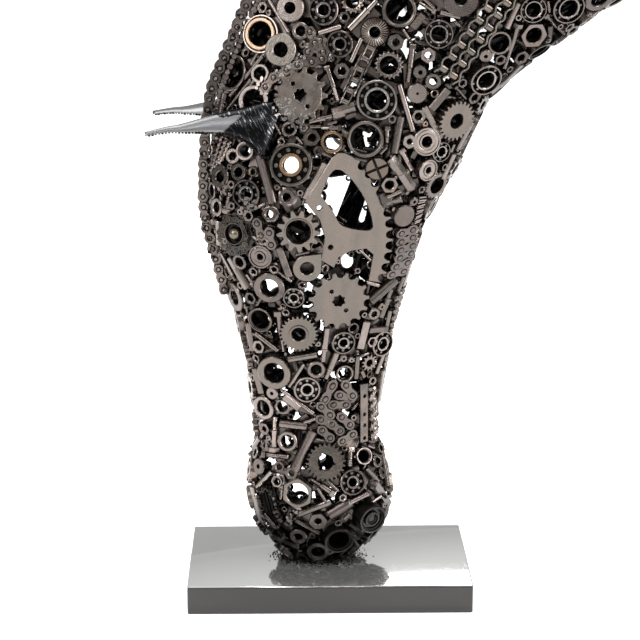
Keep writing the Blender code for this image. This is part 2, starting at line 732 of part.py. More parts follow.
def main():
    clear_scene()
    sculpture = new_collection("scrap_horse")
    tools = new_collection("cutters")
    dark_scrap = new_material("welded_scrap", (0.16, 0.15, 0.14), 0.4)
    machined = new_material("machined_parts", (0.30, 0.28, 0.26), 0.3)
    chain_steel = new_material("mane_chain", (0.12, 0.115, 0.11), 0.35)
    sheet = new_material("ear_sheet", (0.45, 0.45, 0.45), 0.15)
    polished = new_material("plinth_plate", (0.42, 0.42, 0.42), 0.1)

    def add(name, mesh, material=machined, matrix=None):
        made = bpy.data.objects.new(name, mesh)
        mesh.materials.append(material)
        mesh.shade_smooth()
        mesh.set_sharp_from_angle(angle=math.radians(35))
        sculpture.objects.link(made)
        if matrix is not None:
            made.matrix_world = matrix
        return made

    def add_cutter(name, mesh, matrix=None):
        made = bpy.data.objects.new(name, mesh)
        tools.objects.link(made)
        made.hide_render = True
        made.display_type = "WIRE"
        if matrix is not None:
            made.matrix_world = matrix
        return made

    make_plinth(polished)
    body = add("horse_body", body_mesh("horse_body"), dark_scrap)
    skin = Skin(body.data)
    grown = add_cutter("body_fit", body_mesh("body_fit", CLEARANCE))

    # Mane: three strands of chain side by side along the crest
    for name, offset in (("mane_chain_middle", 0), ("mane_chain_left", LEFT), ("mane_chain_right", RIGHT)):
        add(name, mane_mesh(name, offset * (CHAIN_WIDTH + CHAIN_SPACING)), chain_steel)

    def put(name, mesh, side, place, turn=0.0):
        """Lays a machine part flat on the skin at a place on one side."""
        return add(name, mesh, machined, seat(skin, place, side, reach_of(mesh), turn))

    # The poll sprocket lies over the root of the left ear, which is cut to make room for it
    side, pitch_diameter, bore, place, turn = POLL_SPROCKET
    poll_mesh = sprocket_mesh("poll_sprocket", share(pitch_diameter), share(bore))
    poll_sprocket = put("poll_sprocket", poll_mesh, side, place, turn)
    reach = reach_of(poll_mesh) + SEAT_GAP
    room = turned_mesh("ear_room", [(0, reach), (reach, reach), (reach, -CLEARANCE), (0, -CLEARANCE)])
    ear_room = add_cutter("ear_room", room, poll_sprocket.matrix_world)
    ear_left = make_ear("ear_left", LEFT, sculpture, sheet, grown)
    cut(ear_left, ear_room)
    make_ear("ear_right", RIGHT, sculpture, sheet, grown)

    # The cheek chainring lies in a pocket cut level in the left cheek, over a well under its window
    facing = Vector(RING_FACING).normalized()
    on_skin = skin.at(RING_PLACE, LEFT)[0]
    ring_place = frame_on(on_skin - facing * (RING_SUNK + RING_THICKNESS), facing)
    outlines = chainring_outlines()
    add("cheek_chainring", flat_mesh("cheek_chainring", outlines, RING_THICKNESS), machined, ring_place)
    pocket = flat_mesh("ring_pocket", [pocket_outline()], RING_PITCH_RADIUS / 4)
    cut(body, add_cutter("ring_pocket", pocket, ring_place @ Matrix.Translation((0, 0, -CLEARANCE))))
    well = flat_mesh("ring_well", [outlines[1]], WELL_DEPTH + RING_THICKNESS)
    cut(body, add_cutter("ring_well", well, ring_place @ Matrix.Translation((0, 0, -WELL_DEPTH))))

    # Light passes through the head behind the window and behind the temple's bearing
    drop = math.radians(OPENING_DROP)
    sight = Vector((0, -math.cos(drop), math.sin(drop)))
    start = Matrix.Translation((0, 0, -1.5 * widest()))
    opening = [(share(x), share(y)) for x, y in OPENING]
    temple_bore = share(TEMPLE_BEARING[2])
    for name, place, outline in (
        ("cheek_opening", OPENING_PLACE, opening),
        ("temple_opening", TEMPLE_BEARING[3], circle(temple_bore * 0.45, 12)),
    ):
        mesh = flat_mesh(name, [outline], 2 * widest())
        cut(body, add_cutter(name, mesh, frame_on(skin.at(place, LEFT)[0], sight) @ start))

    # Eyes and nostrils
    for side, word in ((LEFT, "left"), (RIGHT, "right")):
        facing = Vector((EYE_FACING[0], EYE_FACING[1] * -side, EYE_FACING[2])).normalized()
        place = frame_on(skin.at(EYE_PLACE, side)[0] + facing * (EYE_STAND - EYE_CUP_DEPTH), facing)
        add("eye_cup_" + word, eye_cup_mesh("eye_cup_" + word), machined, place)
        ball_level = EYE_FLOOR + EYE_BALL / 2 + CLEARANCE
        ball = ball_mesh("eye_ball_" + word, EYE_BALL)
        add("eye_ball_" + word, ball, machined, place @ Matrix.Translation((0, 0, ball_level)))
        radius = EYE_DIAMETER / 2 + SEAT_GAP
        profile = [(0, radius), (radius, radius), (radius, -CLEARANCE), (0, -CLEARANCE)]
        cut(body, add_cutter("socket_" + word, turned_mesh("socket_" + word, profile), place))

        point, normal = skin.at(NOSTRIL_PLACE, side)
        place = frame_on(point - normal * NOSTRIL_DEPTH, normal, NOSTRIL_LEAN * -side)
        cut(body, add_cutter("nostril_cut_" + word, nostril_mesh("nostril_cut_" + word), place))

    # Machine parts lying on the body
    for name, (side, outer, bore, place) in BEARINGS.items():
        put(name, bearing_mesh(name, share(outer), share(bore)), side, place)
    for name, (side, outer, bore, width, place) in RINGS.items():
        put(name, ring_mesh(name, share(outer), share(bore), width), side, place)
    for name, (side, teeth, tip, root, bore, place, turn) in GEARS.items():
        put(name, gear_mesh(name, teeth, share(tip), share(root), share(bore)), side, place, turn)
    for name, (side, pitch_diameter, bore, place, turn) in SPROCKETS.items():
        put(name, sprocket_mesh(name, share(pitch_diameter), share(bore)), side, place, turn)
    side, outer, bore, place = TEARDROP_PLATE
    put("teardrop_plate", teardrop_mesh("teardrop_plate", share(outer), share(bore)), side, place)
    side, outer, place = CHIN_DISC
    put("chin_disc", disc_mesh("chin_disc", share(outer)), side, place)
    side, across, bore, place, turn = MUZZLE_NUT
    put("muzzle_nut", nut_mesh("muzzle_nut", share(across), share(bore)), side, place, turn)
    put("neck_chain", duplex_chain_mesh("neck_chain"), LEFT, DUPLEX_PLACE, DUPLEX_TURN)


main()
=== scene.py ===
"""The looks of the scrap horse: some 1400 pieces of scrap, and plain bars behind them, round the frame.

Pieces of machine scrap are built once as shapes, then copied into a few big meshes, here called heaps. Those
that show in the photograph are placed one by one: a pixel of the photograph is followed from the camera to
the body, and the piece lies where that line meets it. The rest of the body is filled by packing discs and
bars of falling size into what is still free.
"""

import math
import random

import bmesh
import bpy
import numpy as np
from mathutils import Matrix, Vector
from mathutils.bvhtree import BVHTree
from mathutils.kdtree import KDTree


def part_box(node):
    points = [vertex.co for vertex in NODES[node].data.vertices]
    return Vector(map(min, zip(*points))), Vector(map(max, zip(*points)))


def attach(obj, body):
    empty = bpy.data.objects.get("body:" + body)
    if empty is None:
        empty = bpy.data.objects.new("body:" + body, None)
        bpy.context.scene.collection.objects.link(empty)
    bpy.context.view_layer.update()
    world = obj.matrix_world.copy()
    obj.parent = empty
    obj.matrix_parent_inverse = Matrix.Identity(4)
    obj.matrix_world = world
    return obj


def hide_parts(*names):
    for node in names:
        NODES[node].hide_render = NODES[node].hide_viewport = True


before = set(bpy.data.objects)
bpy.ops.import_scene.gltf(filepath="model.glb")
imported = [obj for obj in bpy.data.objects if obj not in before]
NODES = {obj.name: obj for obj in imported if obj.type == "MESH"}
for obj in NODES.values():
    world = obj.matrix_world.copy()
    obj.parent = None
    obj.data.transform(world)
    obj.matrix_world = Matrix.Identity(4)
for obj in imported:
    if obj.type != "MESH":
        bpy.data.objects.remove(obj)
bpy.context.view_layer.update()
MM = 0.001
rng = random.Random(7)

# Camera of the photograph, whose frame is 640 pixels square
CAMERA_AT = Vector((-0.0484, -2.3470, 0.9131))
CAMERA_AIM = Vector((-0.0099, 0.0, 0.3145))
FRAME_PIXELS = 640
FOCAL_PIXELS = 2143.7
SENSOR = 36.0

# Roller chain, as in the CAD
CHAIN_PITCH = 12.7 * MM
CHAIN_WIDTH = 13 * MM
CHAIN_HEIGHT = 12.2 * MM
CHAIN_ROLLER = 8.5 * MM
TOOTH_RISE = 3.5 * MM
DUPLEX_PITCH = 15.875 * MM
DUPLEX_WIDTH = 29 * MM

# How far the outer faces of the scrap stand over the body's surface, and how far off it a pixel may pass
OUTER_LIFT = 4 * MM
OUTLINE_REACH = 14 * MM

SIDES = {"left": -1, "right": 1}


# Shapes: points, faces and a finish for each point


class Shape:
    """Points, faces, and for each point how warm and bright its metal is, and how dark with dirt and painted
    shade.
    """

    def __init__(self, points, faces, warm=0.0, shine=0.0, dirt=0.0):
        self.points = np.asarray(points, dtype=np.float64).reshape(-1, 3)
        self.faces = faces
        self.corners = np.array([i for face in faces for i in face], dtype=np.int64)
        self.sizes = np.array([len(face) for face in faces], dtype=np.int64)
        self.finish = np.tile([warm, shine, dirt], (len(self.points), 1))

    def moved(self, matrix):
        other = Shape(carried(self.points, matrix), self.faces)
        other.finish = self.finish
        return other

    def height(self):
        return float(self.points[:, 2].max())


def carried(points, matrix):
    """Points moved by a matrix."""
    m = np.array(matrix)
    return points @ m[:3, :3].T + m[:3, 3]


def joined(*shapes):
    """Several shapes as one."""
    faces, start = [], 0
    for shape in shapes:
        faces += [tuple(start + i for i in face) for face in shape.faces]
        start += len(shape.points)
    total = Shape(np.concatenate([shape.points for shape in shapes]), faces)
    total.finish = np.concatenate([shape.finish for shape in shapes])
    return total


def skinned(levels, closed, **finish):
    """Quads between rings of points. An open shape gets a cap at each end."""
    rows, count = len(levels), len(levels[0])
    faces = []
    for k in range(rows if closed else rows - 1):
        low, high = k * count, (k + 1) % rows * count
        for i in range(count):
            j = (i + 1) % count
            faces.append((low + i, low + j, high + j, high + i))
    if not closed:
        faces += [tuple(range(count))[::-1], tuple(range((rows - 1) * count, rows * count))]
    return Shape(np.concatenate(levels), faces, **finish)


def ring_at(radius, level, steps):
    """Points round the Z axis: radius and level are each a number, or one value for each step."""
    turn = np.arange(steps) * 2 * np.pi / steps
    return np.stack([radius * np.cos(turn), radius * np.sin(turn), np.full(steps, level)], axis=1)


def bored(profile, steps, bore, top, darkening=0.8, **finish):
    """A turned profile, with the wall of its bore darkened below its mouth as painted shade."""
    shape = turned(profile, steps, **finish)
    reach = np.hypot(shape.points[:, 0], shape.points[:, 1])
    shape.finish[(reach < bore / 2 + 0.2 * MM) & (shape.points[:, 2] < top - 1.2 * MM), 2] = darkening
    return shape


def turned(profile, steps, closed=True, **finish):
    """A profile of (radius, level) turned round the Z axis."""
    return skinned([ring_at(radius, level, steps) for radius, level in profile], closed, **finish)


def hexagon(across, steps):
    """Radii of a hexagon, measured across its corners, at even steps of the turn."""
    turn = (np.arange(steps) * 2 * np.pi / steps) % (np.pi / 3) - np.pi / 6
    return across / 2 * math.cos(math.pi / 6) / np.cos(turn)


def steps_for(size):
    """Steps round a turned piece of a given diameter."""
    return 32 if size > 30 * MM else 24 if size > 18 * MM else 18


def make_ring(outer, bore, height, **finish):
    """A ring with eased edges."""
    radius, inner = outer / 2, bore / 2
    ease = min(0.18 * (radius - inner), 0.9 * MM)
    profile = [(radius, 0), (radius, height - ease), (radius - ease, height), (inner + ease, height),
               (inner, height - ease), (inner, 0)]
    return bored(profile, steps_for(outer), bore, height, **finish)


def make_cup(outer, bore, height, **finish):
    """A deep ring with a stepped mouth."""
    radius, inner = outer / 2, bore / 2
    step = radius - (radius - inner) * 0.45
    profile = [(radius, -height * 0.4), (radius, height - 0.6 * MM), (radius - 0.6 * MM, height),
               (step, height), (step, height - 1.6 * MM), (inner, height - 2.4 * MM), (inner, -height * 0.4)]
    return bored(profile, steps_for(outer), bore, height, **finish)


def make_disc(outer, height, hole=0.0, **finish):
    """A boss with an eased edge, and a hole in its middle where it has one."""
    radius = outer / 2
    profile = [(radius, 0), (radius, height - 1 * MM), (radius - 1 * MM, height)]
    if hole:
        profile += [(hole / 2, height), (hole / 2, 0)]
    return turned(profile, steps_for(outer), bool(hole), **finish)


def make_nut(across, bore, height, flange=0.0, **finish):
    """A hexagon nut with rounded corners on its face, and a flange under it where it has one."""
    hexed, inner = hexagon(across, 24), bore / 2
    profile = [(hexed, 0), (hexed, height - 1.3 * MM), (np.minimum(hexed, across / 2 * 0.975), height),
               (inner + 0.8 * MM, height), (inner, height - 0.8 * MM), (inner, 0)]
    nut = bored(profile, 24, bore, height, **finish)
    if not flange:
        return nut
    skirt = [(flange / 2, 0), (flange / 2, 1.5 * MM), (across / 2, 2.5 * MM), (inner, 2.4 * MM), (inner, 0)]
    return joined(nut, turned(skirt, 24, **finish))


def make_ball(radius, centre=(0, 0, 0), rows=4, steps=8, **finish):
    """A small ball."""
    tilts = [math.pi * k / (rows + 1) for k in range(1, rows + 1)]
    profile = [(radius * math.sin(tilt), -radius * math.cos(tilt)) for tilt in tilts]
    ball = turned(profile, steps, False, **finish)
    ball.points += centre
    return ball


def make_bearing(outer, bore, width, balls=8, warm_inner=0.0, shine_inner=0.15, **finish):
    """A ball bearing with its balls showing between the races."""
    radius, inner, steps, ease = outer / 2, bore / 2, steps_for(outer), 0.6 * MM
    wall = radius - inner
    low, high, shoulder = inner + 0.3 * wall, radius - 0.27 * wall, width * 0.72
    outer_race = [(radius, 0), (radius, width - ease), (radius - ease, width), (radius - 0.2 * wall, width),
                  (high, shoulder), (high, 0)]
    inner_race = [(low, 0), (low, shoulder), (inner + 0.24 * wall, width), (inner + ease, width),
                  (inner, width - ease), (inner, 0)]
    # The cage between the races is painted black, a painted shade in the recess.
    cage = [(low, width * 0.34), (low, width * 0.1), (high, width * 0.1), (high, width * 0.34)]
    parts = [turned(outer_race, steps, **finish),
             bored(inner_race, steps, bore, width, warm=warm_inner, shine=shine_inner),
             turned(cage, steps, dirt=1.0)]
    for x, y in circle_points(inner + 0.52 * wall, balls):
        parts.append(make_ball(wall * 0.24, (x, y, width * 0.55), 3, 7, shine=0.1, dirt=0.25))
    return joined(*parts)


def make_sealed(outer, bore, width):
    """A bearing with a shield between its races."""
    radius, inner, ease, groove = outer / 2, bore / 2, 0.6 * MM, 1.1 * MM
    wall, shield = radius - inner, width - groove * 0.6
    profile = [(radius, 0), (radius, width - ease), (radius - ease, width), (radius - 0.2 * wall, width),
               (radius - 0.22 * wall, width - groove), (radius - 0.34 * wall, shield),
               (inner + 0.38 * wall, shield), (inner + 0.27 * wall, width - groove),
               (inner + 0.25 * wall, width), (inner + ease, width), (inner, width - ease), (inner, 0)]
    return bored(profile, steps_for(outer), bore, width)


TOOTH_SHAPES = {4: (0, 0, 1, 1), 8: (0, 0, 0.5, 1, 1, 1, 0.5, 0)}


def tooth_radii(teeth, points, root, tip):
    """Radii round a gear, with 4 or 8 points to each tooth."""
    return root + (tip - root) * np.array(TOOTH_SHAPES[points] * teeth)


def make_gear(outer, bore, width, teeth, hub=0.0, notch=0.0, points=8):
    """A spur gear, with a raised hub round its bore, or notches in it, where it has them."""
    steps = teeth * points
    radii = tooth_radii(teeth, points, outer / 2 - 1.9 * outer / (teeth + 2), outer / 2)
    rim, top = (hub or bore + 5 * MM) / 2, width + (1.5 * MM if hub else 0.0)
    notched = np.arange(steps) * 2 * np.pi / steps * 3 % (2 * np.pi) < 0.9
    bores = np.where(notched, bore / 2 + notch, bore / 2)
    profile = [(radii, 0), (radii, width - 0.5 * MM), (radii - 0.5 * MM, width), (rim, width),
               (rim - 0.5 * MM, top), (bores + 0.6 * MM, top), (bores, top - 0.6 * MM), (bores, 0)]
    return bored(profile, steps, bore, width)


def make_splined(outer, bore, width, teeth):
    """A ring with splines outside and a smooth mouth."""
    radii, inner = tooth_radii(teeth, 4, outer / 2 - 1.8 * MM, outer / 2), bore / 2
    profile = [(radii, -width * 0.3), (radii, width - 1.5 * MM), (radii - 1.2 * MM, width - 0.5 * MM),
               (inner + 2 * MM, width), (inner, width - 0.6 * MM), (inner, -width * 0.3)]
    return bored(profile, teeth * 4, bore, width)


def make_ridged(outer, bore, width, ridges=30):
    """A washer whose face has rays, like the face of a bevel gear."""
    wave = np.arange(ridges * 2) % 2 == 0
    radius, inner = outer / 2, bore / 2
    profile = [(radius, 0), (radius, width * 0.5), (radius - 1 * MM, width * 0.62 + wave * 1.4 * MM),
               (inner + (radius - inner) * 0.42, width * 0.85 + wave * 1.1 * MM), (inner + 1.2 * MM, width),
               (inner, width - 0.8 * MM), (inner, 0)]
    return bored(profile, ridges * 2, bore, width)


def outline_shape(outline, height, ease=0.35 * MM, **finish):
    """A plate with an outline given as points that run anticlockwise, its upper edge eased."""
    outline = np.asarray(outline)
    ahead = np.roll(outline, -1, axis=0) - np.roll(outline, 1, axis=0)
    inward = np.stack([-ahead[:, 1], ahead[:, 0]], axis=1)
    inward /= np.linalg.norm(inward, axis=1)[:, None]
    levels = [np.column_stack([outline + inward * inset, np.full(len(outline), level)])
              for level, inset in ((0, 0), (height - ease, 0), (height, ease))]
    return skinned(levels, False, **finish)


def link_outline(pitch, end, waist):
    """The outline of a chain plate: two round ends and a waist."""
    outline = []
    for side in (1, -1):
        for k in range(7):
            x, y = polar(end, math.radians(-115 + 230 * k / 6))
            outline.append((side * (pitch / 2 + x), side * y))
        outline.append((0, side * waist))
    return outline


def new_object(name, data):
    """An object for a mesh, curve, light or camera, linked into the scene."""
    made = bpy.data.objects.new(name, data)
    bpy.context.scene.collection.objects.link(made)
    return made


def curve_plate(outlines, height, ease=0.4 * MM):
    """A plate with holes: the first outline is its edge. It is filled by a 2D curve with a small bevel."""
    curve = bpy.data.curves.new("plate", "CURVE")
    curve.dimensions, curve.fill_mode = "2D", "BOTH"
    curve.extrude, curve.offset = height / 2 - ease, -ease
    curve.bevel_depth, curve.bevel_resolution = ease, 0
    for outline in outlines:
        spline = curve.splines.new("POLY")
        spline.points.add(len(outline) - 1)
        for point, (x, y) in zip(spline.points, outline):
            point.co = (x, y, 0, 1)
        spline.use_cyclic_u = True
    holder = new_object("plate", curve)
    mesh = bpy.data.meshes.new_from_object(holder.evaluated_get(bpy.context.evaluated_depsgraph_get()))
    bpy.data.objects.remove(holder, do_unlink=True)
    builder = bmesh.new()
    builder.from_mesh(mesh)
    bmesh.ops.remove_doubles(builder, verts=builder.verts, dist=1e-6)
    bmesh.ops.recalc_face_normals(builder, faces=builder.faces)
    builder.verts.index_update()
    points = [(v.co.x, v.co.y, v.co.z + height / 2) for v in builder.verts]
    faces = [tuple(v.index for v in face.verts) for face in builder.faces]
    builder.free()
    bpy.data.meshes.remove(mesh)
    return Shape(points, faces)


def circle_points(radius, count, centre=(0, 0), first=0.0):
    return [polar(radius, first + 2 * math.pi * k / count, centre) for k in range(count)]


def polar(radius, turn, centre=(0, 0)):
    """The point at a radius and a turn round a centre."""
    return centre[0] + radius * math.cos(turn), centre[1] + radius * math.sin(turn)


def spline_bore(radius, teeth=7):
    """A bore with splines."""
    return [polar(radius * (1 if k % 4 < 2 else 0.82), math.pi * k / (2 * teeth)) for k in range(4 * teeth)]


def sprocket_outline(teeth):
    """A worn chain sprocket's edge: round valleys about the rollers' size, and low teeth."""
    pitch_radius = CHAIN_PITCH / (2 * math.sin(math.pi / teeth))
    outline = []
    for tooth in range(teeth):
        middle = 2 * math.pi * (tooth + 0.5) / teeth
        valley = polar(pitch_radius + 1.8 * MM, middle)
        for k in range(7):
            outline.append(polar(CHAIN_ROLLER / 2, middle + math.pi + math.radians(66 - 22 * k), valley))
        crown = middle + math.pi / teeth
        for lean in (-0.12, 0.12):
            outline.append(polar(pitch_radius + TOOTH_RISE, crown + lean * 2 * math.pi / teeth))
    return outline


# Bars lie along X, on z = 0


def laid(profile, steps, length, rise, closed=False, **finish):
    """A profile of (radius, place along) turned round X, resting on z = 0."""
    shape = turned([(radius, place - length / 2) for radius, place in profile], steps, closed, **finish)
    shape.points = shape.points[:, [2, 0, 1]] + [0, 0, rise]
    return shape


def make_rod(length, width, sides=12, **finish):
    radius = width / 2
    ease = min(0.8 * MM, radius * 0.3)
    profile = [(radius - ease, 0), (radius, ease), (radius, length - ease), (radius - ease, length)]
    return laid(profile, sides, length, radius, **finish)


def make_pin(length, width):
    """A rod with a collar and a thinner end."""
    radius, neck = width / 2, length * 0.62
    collar, thin = radius * 1.2, radius * 0.75
    profile = [(radius * 0.8, 0), (radius, 0.7 * MM), (radius, neck), (collar, neck + 0.3 * MM),
               (collar, neck + 2.2 * MM), (thin, neck + 2.6 * MM), (thin, length)]
    return laid(profile, 12, length, collar)


def make_threaded(length, width):
    radius = width / 2
    count = max(3, int(length / (1.8 * MM)))
    profile = [(radius * 0.8, 0)]
    for k in range(count):
        profile += [(radius, (k + 0.35) * length / count), (radius * 0.84, (k + 0.85) * length / count)]
    profile[-1] = (radius * 0.8, length)
    return laid(profile, 9, length, radius)


def make_plain(length, width, squash=1.0):
    """A six-sided bar, for the inside."""
    bar = laid([(width / 2, 0), (width / 2, length)], 6, length, width / 2)
    bar.points[:, 2] *= squash
    return bar


def make_twist(length, width):
    """Two thin bars twisted round each other."""
    steps = 12
    turn = np.arange(steps) * 2 * np.pi / steps
    profile = [(width / 2 * (0.45 + 0.55 * np.abs(np.cos(turn - place / width * math.pi))), place)
               for place in np.arange(0, length, 1.3 * MM)]
    return laid(profile, steps, length, width / 2)


def make_bolt(length, width):
    """A hexagon bolt: head, plain shank, thread."""
    radius, across, head, shank, pitch = width / 2, width * 1.9, width * 0.7, length * 0.6, 1.6 * MM
    hexed = hexagon(across, 12)
    profile = [(np.minimum(hexed, across * 0.45), 0), (hexed, 0.8 * MM), (hexed, head), (radius, head),
               (radius, shank)]
    count = max(2, int(length * 0.4 / pitch))
    for k in range(count):
        at = shank + (k + 0.3) * length * 0.4 / count
        profile += [(radius * 0.85, at), (radius, at + pitch * 0.4)]
    return laid(profile + [(radius * 0.8, length)], 12, length, radius)


def make_square(length, width, height=None):
    """A bar of square or flat section with eased edges."""
    half, top = width / 2, height or width
    ease = min(width, top) * 0.12
    section = [(half, ease), (half, top - ease), (half - ease, top), (-half + ease, top)]
    section = np.array(section + [(-x, top - y) for x, y in section])
    levels, end = [], length / 2
    for place, inset in ((-end, ease), (-end + ease, 0), (end - ease, 0), (end, ease)):
        flat = (section - [0, top / 2]) * [1 - inset / half, 1 - 2 * inset / top] + [0, top / 2]
        levels.append(np.column_stack([np.full(8, place), flat]))
    return skinned(levels, False)


def make_coupling(length, width):
    """A hexagon bar with a bore in each end."""
    hexed, bore, ease = np.roll(hexagon(width * 1.12, 12), 1), width * 0.28, 0.8 * MM
    face = np.minimum(hexed, width * 0.5)
    profile = [(bore, length * 0.2), (bore, 0), (face, 0), (hexed, ease), (hexed, length - ease),
               (face, length), (bore, length), (bore, length * 0.8)]
    return laid(profile, 12, length, width / 2)


def make_tube(length, width):
    """A sleeve, open at both ends."""
    radius, bore, ease = width / 2, width * 0.36, 0.5 * MM
    profile = [(bore, 0), (radius - ease, 0), (radius, ease), (radius, length - ease),
               (radius - ease, length), (bore, length)]
    return laid(profile, 14, length, radius, True)


def make_link():
    """One link of roller chain lying on its side: two plates, two rollers and their rivets, along X."""
    plate = outline_shape(link_outline(CHAIN_PITCH, 5.9 * MM, 3.9 * MM), 1.6 * MM)
    roller = turned([(3.6 * MM, 1 * MM), (3.6 * MM, 6.6 * MM)], 10, False, dirt=0.3)
    # A ring round each rivet, painted black as the shade of its groove.
    groove = turned([(3.5 * MM, 7.8 * MM), (3.5 * MM, 8.15 * MM)], 12, False, dirt=1.0)
    rivet = turned([(2.3 * MM, 7.8 * MM), (2.3 * MM, 8.4 * MM), (1.7 * MM, 8.7 * MM)], 10, False)
    parts = [plate.moved(Matrix.Translation((0, 0, 6.4 * MM))), plate]
    for x in (-CHAIN_PITCH / 2, CHAIN_PITCH / 2):
        parts += [part.moved(Matrix.Translation((x, 0, 0))) for part in (roller, groove, rivet)]
    return joined(*parts)


def make_holed_bar(length, width):
    """A flat bar with a row of holes."""
    x, y = length / 2, width / 2
    edge = [(x, -y), (x, y), (-x, y), (-x, -y)]
    holes = [circle_points(2.1 * MM, 10, (place * length, 0.1 * y)) for place in (-0.29, 0.02, 0.21, 0.43)]
    return curve_plate([edge] + holes, 4 * MM)


def make_slotted(outer, height, **finish):
    """Four quarters of a disc with a cross-shaped slot between them."""
    radius, gap = outer / 2, 1.3 * MM
    outline = [(gap, gap)] + [polar(radius, math.radians(6 + 78 * k / 5)) for k in range(6)]
    quarter = outline_shape(outline, height, **finish)
    parts = [quarter.moved(Matrix.Rotation(math.pi / 2 * k, 4, "Z")) for k in range(4)]
    # The floor under the slot is darkened as painted shade.
    floor = [(radius, 0), (radius, height * 0.5), (radius * 0.9, height * 0.55)]
    return joined(*parts, turned(floor, 24, False, dirt=0.6))


def make_teardrop(outer, bore, height):
    """A washer with a point drawn out at its upper right."""
    radius, tip = outer / 2, math.radians(48)
    outline = [polar(radius * 1.48, tip)]
    outline += [polar(radius, tip + math.radians(40 + 280 * k / 24)) for k in range(25)]
    return curve_plate([outline, circle_points(bore / 2, 24)], height)


BLOB = make_ball(1.0, rows=2, steps=6, dirt=0.25)
LINK = make_link()


# Heaps: many placed shapes in one mesh


class Heap:
    """Placed shapes that become one mesh object."""

    def __init__(self, name, slot, node=None):
        self.name, self.slot, self.node, self.start = name, slot, node, 0
        self.points, self.finish, self.corners, self.sizes = [], [], [], []

    def add(self, shape, matrix, tone=None, warm=0.0, shine=0.0, dirt=0.0):
        finish = np.empty((len(shape.points), 4))
        finish[:, 0] = rng.random() if tone is None else tone
        finish[:, 1:] = np.clip(shape.finish + [warm, shine, dirt], 0, 1)
        self.points.append(carried(shape.points, matrix))
        self.finish.append(finish)
        self.corners.append(shape.corners + self.start)
        self.sizes.append(shape.sizes)
        self.start += len(shape.points)

    def build(self, material):
        lists = (self.points, self.finish, self.corners, self.sizes)
        points, finish, corners, sizes = (np.concatenate(values) for values in lists)
        mesh = bpy.data.meshes.new(self.name)
        mesh.vertices.add(len(points))
        mesh.vertices.foreach_set("co", points.astype(np.float32).ravel())
        mesh.loops.add(len(corners))
        mesh.loops.foreach_set("vertex_index", corners.astype(np.int32))
        mesh.polygons.add(len(sizes))
        mesh.polygons.foreach_set("loop_start", (np.cumsum(sizes) - sizes).astype(np.int32))
        mesh.update(calc_edges=True)
        # The finish attribute holds tone, warm and shine, and in its alpha dirt with painted shade.
        colours = mesh.color_attributes.new("finish", "FLOAT_COLOR", "POINT")
        colours.data.foreach_set("color", finish.astype(np.float32).ravel())
        mesh.shade_smooth()
        mesh.set_sharp_from_angle(angle=math.radians(38))
        mesh.materials.append(material)
        made = new_object(self.name, mesh)
        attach(made, "root")
        if self.node:
            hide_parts(self.node)


# The body's surface


def node_points(name):
    vertices = NODES[name].data.vertices
    points = np.empty(len(vertices) * 3)
    vertices.foreach_get("co", points)
    return points.reshape(-1, 3)


def body_triangles():
    mesh = NODES["horse_body"].data
    mesh.calc_loop_triangles()
    return np.array([triangle.vertices[:] for triangle in mesh.loop_triangles])


BODY_POINTS = node_points("horse_body")
BODY_TRIANGLES = body_triangles()
BODY = BVHTree.FromPolygons(BODY_POINTS.tolist(), BODY_TRIANGLES.tolist())


def placed(at, x_axis, y_axis, z_axis):
    """The matrix of a place and its three axes."""
    return Matrix.Translation(Vector(at)) @ Matrix((x_axis, y_axis, z_axis)).transposed().to_4x4()


def node_place(name):
    """The matrix of a flat round node: its base's middle, Z out of the body and X to its farthest tooth."""
    points = np.unique(np.round(node_points(name), 6), axis=0)
    centre = points.mean(axis=0)
    normal = np.linalg.svd(points - centre)[2][2]
    if normal[1] * centre[1] < 0:
        normal = -normal
    levels = (points - centre) @ normal
    flat = points - centre - np.outer(levels, normal)
    reach = np.linalg.norm(flat, axis=1)
    x_axis, z_axis = Vector(flat[reach.argmax()]).normalized(), Vector(normal)
    place = placed(centre + normal * levels.min(), x_axis, z_axis.cross(x_axis), z_axis)
    return place, float(reach.max()), float(levels.max() - levels.min())


def upright_on(point, normal, turn=0.0):
    """A matrix at a point with Z along the normal and Y as near to up as it goes, turned in degrees."""
    normal = Vector(normal).normalized()
    up = Vector((0, 0, 1)) if abs(normal.z) < 0.95 else Vector((1, 0, 0))
    y_axis = (up - normal * up.dot(normal)).normalized()
    return placed(point, y_axis.cross(normal), y_axis, normal) @ Matrix.Rotation(math.radians(turn), 4, "Z")


def lying_along(middle, direction, normal):
    """A matrix with X along a direction and Z near the normal."""
    x_axis, normal = Vector(direction).normalized(), Vector(normal)
    z_axis = (normal - x_axis * normal.dot(x_axis)).normalized()
    return placed(middle, x_axis, z_axis.cross(x_axis), z_axis)


VIEW = (CAMERA_AIM - CAMERA_AT).normalized()
VIEW_RIGHT = VIEW.cross(Vector((0, 0, 1))).normalized()
VIEW_UP = VIEW_RIGHT.cross(VIEW)


def sight(px, py):
    """The direction from the camera through a pixel of the photograph."""
    half = FRAME_PIXELS / 2
    direction = VIEW + VIEW_RIGHT * (px - half) / FOCAL_PIXELS - VIEW_UP * (py - half) / FOCAL_PIXELS
    return direction.normalized()


